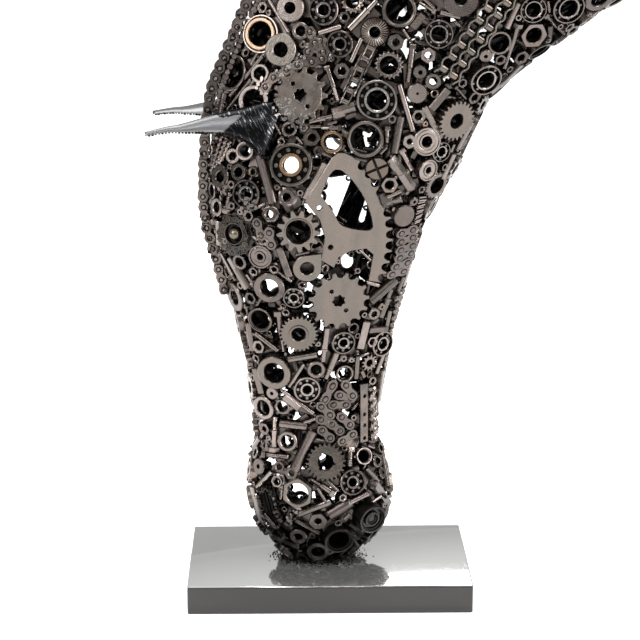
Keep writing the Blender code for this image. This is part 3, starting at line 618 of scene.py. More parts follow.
# The chainring's sector, as in the CAD: shares of its pitch radius, in the ring's own plane
RING_PITCH_RADIUS = 0.239 * 0.525
RING_FACING = Vector((0.232, -0.966, -0.12)).normalized()
RING_THICKNESS = 4 * MM
RING_CENTRE = (-0.6335, -0.1912)
RING_RIM_INNER = 0.857
RING_FIRST_VALLEY = 44.0
RING_SWEEP = 70.0
RING_SHOULDER = ((-0.183, 0.586), (-0.131, 0.630), (-0.069, 0.628))
RING_FOOT = ((0.155, -0.251), (0.017, -0.264), (-0.092, -0.318), (-0.130, -0.414))
RING_BACK = ((-0.249, -0.336), (-0.222, -0.124), (-0.271, 0.033), (-0.405, 0.206))
RING_WINDOW_TOP = (
    (-0.159, 0.482), (-0.212, 0.410), (-0.262, 0.275), (-0.269, 0.258), (-0.258, 0.243), (-0.147, 0.096),
)
RING_WINDOW_FOOT = ((-0.102, 0.002), (-0.061, -0.034), (0.037, -0.068), (0.182, -0.089))
RING_HOLES = ((-0.278, 0.143), (-0.167, -0.221))
RING_HOLE = 0.048
RING_RIM = RING_PITCH_RADIUS * RING_RIM_INNER


def ring_points(shares):
    return [(RING_PITCH_RADIUS * x, RING_PITCH_RADIUS * y) for x, y in shares]


def on_ring(radius, degrees):
    return polar(radius, math.radians(degrees), ring_points([RING_CENTRE])[0])


def rounded(points):
    """An outline with its corners cut back."""
    cut = []
    for (a, b), (c, d) in zip(points, points[1:] + points[:1]):
        cut += [(a * 0.8 + c * 0.2, b * 0.8 + d * 0.2), (a * 0.2 + c * 0.8, b * 0.2 + d * 0.8)]
    return cut


def chainring_edge():
    """The sector's outline, with round valleys between its teeth."""
    step = math.degrees(CHAIN_PITCH / RING_PITCH_RADIUS)
    valleys = round(RING_SWEEP / step)
    tip = RING_PITCH_RADIUS + TOOTH_RISE
    edge = []
    for k in range(valleys):
        middle = RING_FIRST_VALLEY - k * step
        centre = on_ring(RING_PITCH_RADIUS, middle)
        edge.append(on_ring(tip, middle + step * 0.40))
        for i in range(7):
            edge.append(polar(CHAIN_ROLLER / 2, math.radians(middle + 90 + 180 * (i + 0.5) / 7), centre))
        edge.append(on_ring(tip, middle - step * 0.40))
    last = RING_FIRST_VALLEY - (valleys - 0.5) * step
    for share, angle in ((1.045, last - 1), (1.03, -20), (1.01, -8)):
        edge.append(on_ring(RING_RIM * share, angle))
    return edge + ring_points(RING_FOOT + RING_BACK + RING_SHOULDER)


def chainring_frame():
    """The ring's own plane, found from its CAD node: the middle of its base, as the CAD drew it."""
    turn = upright_on((0, 0, 0), RING_FACING)
    local = node_points("cheek_chainring") @ np.array(turn)[:3, :3]
    drawn = np.array(RING_EDGE)
    shift = (local[:, 0].min() - drawn[:, 0].min(), local[:, 1].max() - drawn[:, 1].max(), local[:, 2].min())
    return turn @ Matrix.Translation(Vector(shift))


def window_outline():
    window = [on_ring(RING_RIM, angle) for angle in range(9, 52, 6)]
    return rounded(window + ring_points(RING_WINDOW_TOP + RING_WINDOW_FOOT))


def inside_outline(x, y, outline):
    """Which points lie inside an outline."""
    result = np.zeros(len(x), dtype=bool)
    for (x0, y0), (x1, y1) in zip(outline, outline[1:] + outline[:1]):
        if y0 != y1:
            result ^= ((y0 > y) != (y1 > y)) & (x < (x1 - x0) * (y - y0) / (y1 - y0) + x0)
    return result


RING_EDGE = chainring_edge()
RING_FRAME = chainring_frame()
RING_INVERSE = RING_FRAME.inverted()
BESIDE_RING = [(1.12 * x, 1.12 * y) for x, y in RING_EDGE]


def beside_ring(point, lift):
    """The lift of a piece, held under the ring's face where it lies beside the ring."""
    x, y, z = RING_INVERSE @ Vector(point)
    if point[1] > 0 or not inside_outline(np.array([x]), np.array([y]), BESIDE_RING)[0]:
        return lift
    return max(-6 * MM, min(lift, RING_THICKNESS - 1.2 * MM - z))


def scatter_samples(count):
    """Even random points on the body, with their normals, leaving out what is cut into it."""
    corners = BODY_POINTS[BODY_TRIANGLES]
    cross = np.cross(corners[:, 1] - corners[:, 0], corners[:, 2] - corners[:, 0])
    area = np.linalg.norm(cross, axis=1) / 2
    source = np.random.RandomState(11)
    chosen = source.choice(len(area), count, p=area / area.sum())
    normals = (cross / np.maximum(2 * area, 1e-12)[:, None])[chosen]
    u, v = source.rand(count), source.rand(count)
    flip = u + v > 1
    u[flip], v[flip] = 1 - u[flip], 1 - v[flip]
    tri = corners[chosen]
    points = tri[:, 0] + u[:, None] * (tri[:, 1] - tri[:, 0]) + v[:, None] * (tri[:, 2] - tri[:, 0])
    plane = np.array(RING_FRAME)
    local = (points - plane[:3, 3]) @ plane[:3, :3]
    grown = [(x * 1.02, y * 1.02) for x, y in RING_EDGE]
    keep = ~(inside_outline(local[:, 0], local[:, 1], grown) & (points[:, 1] < 0))
    keep &= ~((normals[:, 2] < -0.9) & (points[:, 2] < 0.036))
    for i in np.flatnonzero(keep):
        start = Vector(points[i] + normals[i] * 0.5 * MM)
        keep[i] = BODY.ray_cast(start, Vector(normals[i]), 0.09)[0] is None
    return points[keep], normals[keep]


def tree_of(points):
    """A tree that finds the nearest of many points."""
    tree = KDTree(len(points))
    for index, point in enumerate(points):
        tree.insert(point, index)
    tree.balance()
    return tree


SAMPLES, SAMPLE_NORMALS = scatter_samples(60000)
NEAREST = tree_of(SAMPLES)
CLEARANCE = np.full(len(SAMPLES), 1.0)
OPEN = np.full(len(SAMPLES), 1.0)


def smooth_normal(point, radius):
    """The mean normal of the surface round a point."""
    found = [index for _, index, _ in NEAREST.find_range(point, max(radius, 8 * MM))]
    if not found:
        return Vector(SAMPLE_NORMALS[NEAREST.find(point)[1]])
    return Vector(SAMPLE_NORMALS[found].sum(axis=0)).normalized()


def bend(point, radius):
    """How far the surface round a point is from flat."""
    found = [index for _, index, _ in NEAREST.find_range(point, radius)]
    return 1 - float(np.linalg.norm(SAMPLE_NORMALS[found].mean(axis=0))) if found else 0.0


def occupy(point, radius):
    """Marks a ball of space as taken."""
    np.minimum(CLEARANCE, np.linalg.norm(SAMPLES - np.array(point), axis=1) - radius, out=CLEARANCE)


def occupy_bar(start, end, width):
    """Marks a bar's space as taken."""
    start, end = Vector(start), Vector(end)
    count = max(2, int((end - start).length / (width * 0.6)) + 1)
    for k in range(count):
        occupy(start.lerp(end, k / (count - 1)), width / 2)


# Which heap a piece belongs to

HEAPS = {}


def heap_for(point, layer="scrap"):
    """The heap of the side and stretch of the horse that a point lies in."""
    side = "left" if point[1] < 0 else "right"
    level = point[2]
    along = "muzzle" if level < 0.19 else "nose" if level < 0.34 else "cheek" if level < 0.50 else "poll"
    if along == "poll" and (point[0] > 0.10 or level > 0.66):
        along = "neck" if level < 0.76 else "crest"
    node = "horse_body" if layer == "scrap" else None
    return named_heap(f"{layer}_{side}_{along}", "welded_scrap", node)


def named_heap(name, slot, node=None):
    """The heap of a name, made when it is first asked for, and the node that it stands for."""
    if name not in HEAPS:
        HEAPS[name] = Heap(name, slot, node)
    return HEAPS[name]


def part_heap(node, word="detail", slot="machined_parts"):
    return named_heap(f"{node}_{word}", slot, node)


def tilted(normal, degrees):
    """A normal leant over a little, at random."""
    lean = Vector([rng.uniform(-1, 1) for _ in range(3)])
    return (normal + lean * math.tan(math.radians(degrees))).normalized()


# Kinds of scrap. Each maker takes an outer size and a bore, or a length and a width, in metres

STEEL = {}


def cached(kind, *sizes):
    """A shape of a kind and size, made once for sizes that round to the same half millimetre."""
    key = (kind,) + tuple(round(size / (0.5 * MM)) for size in sizes)
    if key not in STEEL:
        STEEL[key] = MAKERS[kind](*[max(1, k) * 0.5 * MM for k in key[1:]])
    return STEEL[key]


MAKERS = {
    "nut": lambda size, bore: make_nut(size, bore, max(5 * MM, size * 0.45)),
    "flange_nut": lambda size, bore: make_nut(size * 0.82, bore, max(6 * MM, size * 0.4), size),
    "ring": lambda size, bore: make_ring(size, bore, 6 * MM),
    "washer": lambda size, bore: make_ring(size, bore, 3 * MM),
    "thin_ring": lambda size, bore: make_ring(size, bore, 9 * MM),
    "copper_ring": lambda size, bore: make_ring(size, bore, 7 * MM, warm=0.9),
    "bronze_ring": lambda size, bore: joined(make_ring(size * 0.84, bore, 8 * MM, warm=0.7, dirt=0.3),
                                             make_ring(size, size * 0.9, 6 * MM)),
    "cup": lambda size, bore: make_cup(size, bore, 10 * MM),
    "disc": lambda size, bore: make_disc(size, 7 * MM),
    "holed_disc": lambda size, bore: make_disc(size, 7 * MM, bore),
    "slotted": lambda size, bore: make_slotted(size, 6 * MM, warm=0.15),
    "bearing": lambda size, bore: make_bearing(size, bore, min(9 * MM, size * 0.3)),
    "sealed": lambda size, bore: make_sealed(size, bore, min(9 * MM, size * 0.34)),
    "gear": lambda size, bore: make_gear(size, bore, 7 * MM, max(12, int(size / (2.1 * MM))), points=4),
    "coarse_gear": lambda size, bore: make_gear(size, bore, 6 * MM, max(9, int(size / (3.6 * MM))), points=4),
    "splined": lambda size, bore: make_splined(size, bore, 10 * MM, max(14, int(size / (1.7 * MM)))),
    "ridged": lambda size, bore: make_ridged(size, bore, 7 * MM),
    "flat": lambda length, width: make_square(length, width, width * 0.4),
    "plain_flat": lambda length, width: make_plain(length, width, 0.4),
    "plain_rod": make_plain, "rod": make_rod, "pin": make_pin, "threaded": make_threaded, "bolt": make_bolt,
    "square": make_square, "coupling": make_coupling, "tube": make_tube, "holed_bar": make_holed_bar,
    "twist": make_twist,
}
PIECES = []
HOLLOWS = []
# Painted shade: how much darker a piece is made the more it faces down.
UNDERSIDE_SHADE = 0.9


def take(point, radius):
    """Marks a round piece's space as taken, and keeps its place for the welds."""
    occupy(point, radius)
    PIECES.append((np.array(point), radius))


def under(normal, finish):
    """Painted shade: darker on what faces down."""
    finish["dirt"] = min(1.0, finish.get("dirt", 0.0) + UNDERSIDE_SHADE * max(0.0, -normal[2]))
    return finish


def put_disc(kind, size, bore, point, normal, turn=0.0, lift=OUTER_LIFT, **finish):
    """Lays a round piece on the body, with its upper face a little over the surface."""
    shape = cached(kind, size, bore)
    rise = beside_ring(point, lift) - shape.height()
    place = upright_on(Vector(point) + Vector(normal) * rise, normal, turn)
    heap_for(point).add(shape, place, **under(normal, finish))
    take(point, size / 2)
    if bore > 8 * MM:
        HOLLOWS.append((Vector(point), bore / 2))


def put_bar(kind, width, start, end, normal, lift=OUTER_LIFT, layer="scrap", **finish):
    """Lays a bar on the body from one point to another."""
    start, end = Vector(start), Vector(end)
    shape = cached(kind, (end - start).length, width)
    middle = (start + end) / 2
    rise = beside_ring(middle, lift) - shape.height()
    place = lying_along(middle + Vector(normal) * rise, end - start, normal)
    heap_for(middle, layer).add(shape, place, **under(normal, finish))
    occupy_bar(start, end, width)
    PIECES.extend((np.array(start.lerp(end, k / 2)), width / 2) for k in range(3))


# Round scrap in the photograph: a kind, its middle's pixel, diameter and bore in millimetres, turn in degrees

DISCS_IN_VIEW = (
    ("bronze_ring", (261, 34), 42, 27, 0), ("cup", (233, 73), 41, 33, 0),
    ("dull_ring", (261, 74), 21, 14, 0), ("copper_ring", (332, 142), 24, 18, 0),
    ("dull_ring", (254, 101), 34, 24, 0), ("nut", (264, 8), 13, 6, 10),
    ("dull_holed_disc", (291, 8), 31, 13, 0), ("bearing", (324, 10), 33, 12, 0),
    ("ring", (301, 31), 19, 11, 0), ("bearing", (340, 44), 29, 11, 5), ("ridged", (375, 32), 32, 12, 0),
    ("nut", (396, 42), 18, 8, 15), ("nut", (342, 71), 18, 9, 8), ("dull_splined", (389, 65), 31, 20, 0),
    ("nut", (312, 138), 19, 9, 0), ("holed_disc", (417, 93), 22, 3, 0), ("nut", (409, 141), 16, 6, 20),
    ("bearing", (439, 34), 31, 16, 0), ("ring", (461, -1), 38, 13, 0), ("nut", (428, 55), 17, 8, 25),
    ("holed_disc", (420, 72), 15, 5, 0), ("ring", (433, 81), 17, 9, 0), ("thin_ring", (499, 42), 26, 21, 0),
    ("bearing", (533, 9), 29, 16, 0), ("bearing", (568, 7), 36, 20, 10), ("nut", (533, 34), 30, 18, 0),
    ("nut", (520, 56), 18, 9, 20), ("nut", (571, 28), 17, 8, 0), ("nut", (418, 116), 16, 8, 0),
    ("sealed", (426, 141), 32, 12, 0), ("bearing", (440, 151), 23, 10, 0),
    ("splined", (435, 184), 33, 20, 0), ("bearing", (247, 194), 32, 13, 0), ("ring", (222, 177), 26, 12, 0),
    ("ring", (219, 207), 20, 12, 0), ("ring", (234, 156), 17, 9, 0), ("dull_cup", (246, 151), 21, 12, 0),
    ("flange_nut", (287, 197), 22, 9, 12), ("flange_nut", (270, 214), 19, 8.5, 0),
    ("sealed", (261, 256), 27, 7, 0), ("ring", (241, 261), 18, 11, 0), ("washer", (237, 296), 34, 18, 0),
    ("nut", (252, 297), 15, 8, 0), ("ring", (270, 287), 35, 21, 0), ("bearing", (294, 297), 24, 8, 0),
    ("cup", (261, 319), 29, 22, 0), ("dull_slotted", (377, 168), 24, 0, 22), ("nut", (389, 184), 19, 10, 0),
    ("dull_disc", (403, 215), 26, 0, 0), ("ring", (373, 313), 14, 7, 0), ("bearing", (343, 342), 27, 9, 0),
    ("nut", (260, 346), 16, 8, 10), ("ring", (316, 369), 20, 12, 0), ("thin_ring", (344, 373), 20, 16, 0),
    ("bearing", (307, 389), 30, 10, 0), ("ring", (265, 407), 28, 18, 0),
    ("flange_nut", (283, 406), 22, 12, 0), ("nut", (266, 428), 15, 6, 0), ("ring", (288, 441), 23, 15, 0),
    ("ring", (247, 366), 14, 7, 0), ("bearing", (381, 343), 30, 12, 0), ("nut", (371, 341), 13, 7, 0),
    ("ring", (371, 380), 10, 5, 0), ("gear", (368, 362), 20, 8, 0), ("bearing", (352, 482), 30, 10, 0),
    ("cup", (363, 456), 20, 14, 0), ("ring", (376, 461), 15, 8, 0), ("flange_nut", (278, 481), 17, 8, 0),
    ("dull_nut", (318, 520), 21, 8, 10), ("dull_ring", (299, 535), 20, 9, 0),
    ("dull_flange_nut", (292, 473), 18, 6, 0), ("dull_ring", (318, 550), 26, 15, 0),
    ("dull_nut", (345, 551), 17, 8, 0),
)

# Bars in the photograph: a kind, the pixels of its two ends, and its width in millimetres
BARS_IN_VIEW = (
    ("rod", (264, 56), (231, 97), 5), ("rod", (252, 80), (229, 110), 4), ("rod", (270, 0), (290, 33), 5),
    ("pin", (349, 29), (377, 0), 9), ("bolt", (327, 66), (338, 101), 6), ("bolt", (413, 44), (408, 83), 7),
    ("coupling", (333, 114), (355, 107), 12), ("pin", (309, 122), (332, 116), 7),
    ("bolt", (342, 128), (321, 128), 6), ("dull_rod", (401, 116), (394, 153), 10),
    ("bolt", (387, 126), (387, 143), 6), ("rod", (399, 84), (413, 131), 7),
    ("dull_square", (430, 109), (448, 88), 9), ("square", (423, 106), (440, 138), 7),
    ("rod", (518, 2), (506, 28), 8), ("bolt", (519, 23), (504, 68), 6), ("bolt", (544, 13), (564, 33), 6),
    ("square", (497, 85), (520, 62), 9), ("rod", (440, 12), (461, 17), 6),
    ("square", (412, 28), (424, 14), 9), ("bolt", (454, 85), (465, 98), 4),
    ("square", (470, 120), (455, 148), 8), ("square", (452, 152), (440, 178), 8),
    ("dull_rod", (260, 155), (273, 204), 12), ("square", (279, 246), (290, 276), 8),
    ("rod", (238, 267), (250, 287), 9), ("square", (325, 163), (304, 199), 6),
    ("rod", (384, 203), (404, 197), 11), ("coupling", (390, 158), (402, 173), 12),
    ("coupling", (402, 173), (412, 188), 12), ("bolt", (400, 148), (412, 170), 7),
    ("dull_rod", (396, 279), (370, 302), 12), ("pin", (327, 327), (323, 361), 8),
    ("square", (366, 320), (359, 348), 9), ("rod", (256, 332), (279, 350), 6),
    ("bolt", (278, 310), (284, 351), 8), ("tube", (288, 359), (317, 354), 9),
    ("pin", (337, 352), (326, 378), 8), ("rod", (289, 386), (304, 363), 5),
    ("rod", (283, 390), (314, 413), 5), ("square", (284, 395), (300, 408), 8),
    ("bolt", (274, 451), (275, 416), 7), ("tube", (280, 423), (307, 426), 11),
    ("dull_rod", (313, 431), (294, 471), 13), ("twist", (209, 172), (219, 137), 6),
    ("twist", (213, 172), (224, 136), 6), ("twist", (217, 168), (229, 137), 6),
    ("twist", (221, 164), (233, 140), 6), ("flat", (209, 178), (208, 216), 5),
    ("flat", (210, 218), (224, 252), 5), ("flat", (224, 252), (236, 274), 5),
    ("square", (231, 256), (249, 288), 7), ("twist", (372, 386), (373, 440), 12),
    ("twist", (399, 290), (388, 335), 8), ("twist", (388, 335), (383, 385), 7),
    ("twist", (408, 282), (394, 322), 8), ("holed_bar", (362, 383), (362, 441), 10),
    ("rod", (357, 355), (355, 378), 6), ("rod", (249, 322), (254, 350), 8),
    ("bolt", (263, 454), (289, 457), 7), ("bolt", (350, 447), (350, 467), 7),
    ("bolt", (334, 494), (311, 479), 7), ("rod", (258, 487), (273, 471), 6),
    ("rod", (298, 514), (331, 501), 9), ("dull_rod", (329, 516), (352, 502), 15),
    ("rod", (296, 519), (320, 532), 5), ("square", (373, 484), (389, 506), 12),
    ("rod", (261, 508), (277, 526), 6), ("rod", (348, 503), (368, 493), 8),
    ("square", (487, 97), (469, 146), 7), ("dull_square", (559, 34), (530, 62), 12),
    ("dull_rod", (381, 456), (386, 486), 7), ("dull_pin", (366, 468), (378, 481), 7),
    ("flat", (388, 460), (392, 488), 8), ("flat", (512, 71), (489, 90), 9),
    ("flat", (483, 110), (466, 156), 8), ("pin", (466, 148), (448, 178), 7),
)

# Links of roller chain that lie flat: the pixels of their pins
LINKS_IN_VIEW = (
    ((258, 222), (262, 234)), ((270, 231), (272, 243)), ((331.8, 384.7), (324.7, 398)),
    ((344.6, 383.7), (351.2, 393.9)), ((332.3, 403.6), (344.6, 403.6)), ((320.6, 405.1), (329.3, 413.3)),
    ((340.5, 416.3), (348.7, 424)), ((320.1, 418.4), (331, 423.4)), ((321.6, 429.6), (329.5, 437.3)),
    ((351.1, 433.4), (341, 440)), ((338.5, 394), (350, 397)), ((338.8, 430), (331, 423.4)),
    ((311, 32), (316, 43)), ((316, 43), (309, 52)), ((321, 40), (324, 52)), ((398.7, 231.8), (410, 228)),
    ((398.7, 240.5), (410, 236)), ((397.4, 248.5), (409, 244)), ((396.7, 256.5), (408, 252)),
    ((392.7, 265), (404, 261)), ((389.4, 273), (401, 270)), ((267, 87), (275, 78)), ((276, 77), (287, 71)),
    ((288, 70), (299, 65)), ((300, 64), (312, 62)), ((313, 62), (323, 59)),
)

# Stacks of thin plates seen on edge, along a line of pixels
STACKS_IN_VIEW = (
    ((413, 228), (411, 250), (408, 272)),
    ((421, 196), (417, 212), (414, 226)),
)

# Chain whose plates stand on edge, along a line of pixels
EDGE_CHAIN_IN_VIEW = ((371, 48), (358, 74), (345, 102))

# Clumps of weld: a pixel, a radius in pixels and how many beads
WELDS_IN_VIEW = (
    ((285, 108), 9, 60), ((297, 119), 8, 45), ((314, 46), 8, 40), ((322, 58), 6, 24), ((250, 205), 8, 26),
    ((226, 190), 7, 20), ((300, 60), 5, 16), ((262, 238), 6, 16), ((223, 240), 9, 30), ((252, 240), 7, 24),
    ((268, 88), 7, 34), ((282, 75), 5, 24), ((292, 67), 5, 24), ((308, 61), 5, 20), ((318, 50), 6, 26),
    ((316, 36), 5, 18), ((235, 214), 8, 26), ((270, 446), 6, 20), ((297, 507), 5, 14), ((289, 518), 5, 14),
    ((345, 552), 9, 40),
)

# Fine weld that lies on the sprocket by the ear
WELDS_ON_SPROCKET = (((283, 104), 9, 80), ((289, 112), 7, 50), ((303, 116), 6, 30))

# The far side behind the window of the cheek's ring: bars across it
WINDOW_BARS = (
    ((358, 178), (341, 222), 12), ((366, 186), (352, 226), 11), ((374, 200), (369, 232), 9),
    ((345, 232), (372, 231), 9), ((312, 168), (366, 161), 24),
)

# Places where the photograph shows white through the whole head: a pixel and a radius in pixels
WHITE_SPOTS = (
    ((291, 164), 10.5), ((334, 143.5), 6), ((251, 149), 2.5), ((248, 187), 2), ((316, 160), 3),
    ((349, 157), 3), ((311, 209), 3), ((319.4, 207.9), 3), ((321, 231), 4), ((270, 214), 4),
    ((272, 284), 7), ((319, 276), 2.6), ((309.5, 286.6), 3.5), ((308, 308.5), 5), ((346.2, 260.6), 7),
    ((334, 184), 7), ((339, 195), 8), ((343, 183), 7), ((329, 191), 5), ((340, 214), 3.5), ((246, 17), 3.5),
    ((214.5, 97), 2.5), ((354, 84), 2), ((338, 208), 5), ((362.3, 210.8), 3), ((363.8, 221.5), 3),
    ((355, 223), 2), ((364.6, 200.9), 2.5), ((428, 55), 3), ((431, 82), 2.5), ((403, 12), 2.5),
    ((380, 48), 3), ((405, 43), 2), ((299, 486), 8), ((278, 481), 4), ((286, 438), 4), ((271, 461), 3),
    ((299.5, 465), 2), ((312.6, 495), 3), ((333, 495), 3.5), ((324, 458), 2.3), ((323, 466), 2.3),
    ((292, 345), 3), ((275, 331), 2), ((267.5, 316), 3), ((282, 366), 4), ((360, 360), 2), ((334, 376), 2),
    ((344, 370), 1.6), ((352, 384), 1.2), ((347, 411), 3), ((296, 416), 3), ((284, 401), 3),
    ((282, 391), 2), ((321.6, 327.5), 2), ((418.7, 8), 2), ((450.7, 20.6), 1.5), ((418.2, 34.7), 2),
    ((479, 14.6), 3), ((498.5, 10.3), 2), ((481, 32), 1.5), ((402, 54.8), 3), ((430.7, 65), 2),
    ((445.9, 76), 2), ((409.5, 106), 2), ((492.5, 60.7), 2), ((509.9, 60), 2), ((367, 134.5), 1.9),
    ((367, 144), 1.9),
)

# Dark pockets of the photograph, where only the inner layers, painted dark as shade, show
DARK_SPOTS = (((352, 262), 8), ((361, 260), 9), ((364, 271), 7), ((306, 247), 3), ((332, 259), 3))
OPEN_SHARE = 0.85
METRES_PER_PIXEL = 1.1 * MM

# Light seen through the notch of the cheek's ring and a hole of the far side's sprocket
NOTCH_LIGHT = (346.2, 260.6)

NOSTRIL_TOP, NOSTRIL_FOOT = (267, 488), (277, 526)
NOSTRIL_WIDTH = 22 * MM


def far_hit(px, py):
    """Where the line through a pixel leaves the body on its far side."""
    direction = sight(px, py)
    return BODY.ray_cast(CAMERA_AT + direction * 4, -direction)[0]


def near_hit(px, py, radius=0.0):
    """Where the line through a pixel meets the body, or passes close to its outline, and the normal there."""
    direction = sight(px, py)
    hit = BODY.ray_cast(CAMERA_AT, direction)[0]
    if hit is not None:
        return hit, smooth_normal(hit, radius)
    along = CAMERA_AT.length
    for _ in range(12):
        guess = CAMERA_AT + direction * along
        hit = BODY.find_nearest(guess)[0]
        along = (hit - CAMERA_AT).dot(direction)
    normal = guess - hit
    return (hit, normal.normalized()) if normal.length < OUTLINE_REACH else (None, None)


def dulled(kind):
    """A kind without its mark for dull metal, and the finish that the mark stands for."""
    return (kind[5:], {"dirt": 0.28}) if kind.startswith("dull_") else (kind, {})


def place_scrap_in_view():
    """The scrap that the photograph shows, each piece where its pixels meet the body."""
    for marked, pixel, size, bore, turn in DISCS_IN_VIEW:
        point, normal = near_hit(*pixel, size / 2 * MM)
        if point is None:
            continue
        kind, finish = dulled(marked)
        facing = (normal * 0.88 - VIEW * 0.12).normalized()
        put_disc(kind, size * MM, bore * MM, point, tilted(facing, 2), turn, **finish)
    for marked, first, last, width in BARS_IN_VIEW:
        (start, normal), (end, other) = near_hit(*first), near_hit(*last)
        if start is None or end is None:
            continue
        kind, finish = dulled(marked)
        put_bar(kind, width * MM, start, end, (normal + other).normalized(), OUTER_LIFT + 1 * MM, **finish)
    for k, (first, last) in enumerate(LINKS_IN_VIEW):
        (start, normal), (end, _) = near_hit(*first), near_hit(*last)
        middle, along = (start + end) / 2, end - start
        lift = OUTER_LIFT + (1 + k % 2) * MM - LINK.height()
        stretch = Matrix.Diagonal((along.length / CHAIN_PITCH, 1, 1, 1))
        place = lying_along(middle + normal * lift, along, normal) @ stretch
        heap_for(middle).add(LINK, place, tone=0.3 * rng.random(), dirt=0.25)
        occupy_bar(start, end, 11 * MM)
    for pixels in STACKS_IN_VIEW:
        lay_stack([near_hit(*pixel)[0] for pixel in pixels])
    route = even_route([near_hit(*pixel)[0] for pixel in EDGE_CHAIN_IN_VIEW], CHAIN_PITCH)
    outward = [smooth_normal(Vector(point), 12 * MM) for point in route]
    pins = [Vector(point) + out * (OUTER_LIFT - 5 * MM) for point, out in zip(route, outward)]
    lay_chain(named_heap("weld_edge_chain", "welded_scrap"), pins, outward, 14 * MM, 10 * MM, 7 * MM, 0.35)
    for pin in pins:
        occupy(pin, 10 * MM)
    for pixel, radius, count in WELDS_IN_VIEW:
        point, normal = near_hit(*pixel)
        for _ in range(count):
            add_bead(point, normal, radius * METRES_PER_PIXEL, 2.6 * MM)
    # The far side's bars behind the ring's window are painted near black, as painted shade.
    for first, last, width in WINDOW_BARS:
        start, end = far_hit(*first), far_hit(*last)
        put_bar("flat", width * MM, start, end, -smooth_normal(start, 10 * MM), 8 * MM, "inner", dirt=0.9)


def flattened(size, longest, height):
    """Scales a bead: its length at random up to a share of its size, and its height."""
    return Matrix.Diagonal((size * rng.uniform(1, longest), size, size * height, 1))


def add_bead(point, normal, spread, size):
    """A bead of weld somewhere near a point."""
    side = upright_on((0, 0, 0), normal).to_3x3()
    away = side @ Vector((rng.gauss(0, 0.5), rng.gauss(0, 0.5), 0)) * spread
    near, index, _ = NEAREST.find(Vector(point) + away)
    normal = Vector(SAMPLE_NORMALS[index])
    place = upright_on(near + normal * rng.uniform(0, OUTER_LIFT + 1.5 * MM), normal, rng.uniform(0, 360))
    size = rng.uniform(0.35, 1) * size
    heap_for(near, "weld").add(BLOB, place @ flattened(size, 1.8, 0.8), tone=rng.uniform(0.5, 1), shine=0.1)


def lay_stack(hits):
    """A row of thin plates across a line, seen on edge."""
    points = even_route(hits, 3.2 * MM)
    plate = make_square(10.5 * MM, 2 * MM, 7 * MM)
    for k, (point, ahead) in enumerate(zip(points[:-1], points[1:])):
        normal = smooth_normal(Vector(point), 10 * MM)
        along = Vector(ahead) - Vector(point)
        lean = Matrix.Rotation(math.radians(rng.uniform(-7, 7)), 4, "Z")
        at = Vector(point) + normal * (OUTER_LIFT - 7.5 * MM + (k % 2) * MM)
        place = lying_along(at, along.cross(normal), normal) @ lean
        heap_for(point).add(plate, place, tone=0.5 + 0.4 * (k % 2))
        occupy(point, 5.5 * MM)


def across(bar):
    """A bar turned to lie along Y, with its middle at the origin."""
    bar.points = bar.points[:, [1, 0, 2]] * [-1, 1, 1]
    bar.points[:, 2] -= bar.points[:, 2].mean()
    return bar


# Chains laid along a route


def even_route(points, spacing):
    """Points at even spacing along a line of points."""
    points = np.array([list(p) for p in points])
    lengths = np.concatenate([[0], np.cumsum(np.linalg.norm(np.diff(points, axis=0), axis=1))])
    places = np.arange(0, lengths[-1], spacing)
    return np.stack([np.interp(places, lengths, points[:, k]) for k in range(3)], axis=1)


def lay_chain(heap, pins, outward, width, height, roller, tone):
    """Roller chain along its pins: plates inside and outside by turns, rollers, and rivet heads."""
    thickness = 1.5 * MM
    plate = outline_shape(link_outline(CHAIN_PITCH, height * 0.47, height * 0.25), thickness, 0.3 * MM)
    plate.points = plate.points[:, [0, 2, 1]] * [1, -1, 1] + [0, thickness / 2, 0]
    reach = width + 0.4 * MM
    barrel = across(make_rod(width - 4 * MM, roller, 10))
    rivet = across(make_rod(width + 1.6 * MM, roller * 0.5, 8, shine=0.15))
    # A ring round each rivet, painted black as the shade of its groove.
    groove = across(laid([(roller * 0.4, 0), (roller * 0.4, reach)], 10, reach, 0.0, dirt=1.0))
    for k, (pin, out) in enumerate(zip(pins, outward)):
        pin, out = Vector(pin), Vector(out)
        ahead = Vector(pins[k + 1]) if k + 1 < len(pins) else pin * 2 - Vector(pins[k - 1])
        here = lying_along(pin, ahead - pin, out)
        heap.add(barrel, here, tone=tone, dirt=0.25)
        heap.add(rivet, here, tone=tone)
        heap.add(groove, here)
        if k + 1 == len(pins):
            break
        middle = lying_along((pin + ahead) / 2, ahead - pin, out)
        edge = width / 2 - (0.0 if k % 2 else 2.2 * MM) - 0.75 * MM
        middle = middle @ Matrix.Rotation(math.radians(rng.uniform(-9, 9)), 4, "Y")
        for side in (-edge, edge):
            heap.add(plate, middle @ Matrix.Translation((0, side, 0)), tone=tone + rng.uniform(-0.2, 0.3),
                     dirt=rng.choice((0, 0, 0.2, 0.5)))


def mane_routes():
    """For each strand of the mane, its pins and outward directions, read from the outer edge of its node."""
    for name in ("mane_chain_left", "mane_chain_middle", "mane_chain_right"):
        points = np.unique(np.round(node_points(name), 5), axis=0)
        edge = points[:, 1].min()
        middle = (edge + points[:, 1].max()) / 2
        outer = [point for point in points[np.abs(points[:, 1] - edge) < 1e-5]
                 if BODY.find_nearest(Vector((point[0], middle, point[2])))[3] > 0.6 * CHAIN_HEIGHT]
        outer.sort(key=lambda point: point[2])
        chain = [outer.pop(0)]
        while outer:
            gaps = [np.linalg.norm(point - chain[-1]) for point in outer]
            chain.append(outer.pop(int(np.argmin(gaps))))
        route = even_route([(point[0], middle, point[2]) for point in chain], CHAIN_PITCH)
        ahead = np.gradient(route, axis=0)
        outward = np.stack([-ahead[:, 2], np.zeros(len(route)), ahead[:, 0]], axis=1)
        outward /= np.linalg.norm(outward, axis=1)[:, None]
        yield name, route - outward * CHAIN_HEIGHT * 0.45, outward


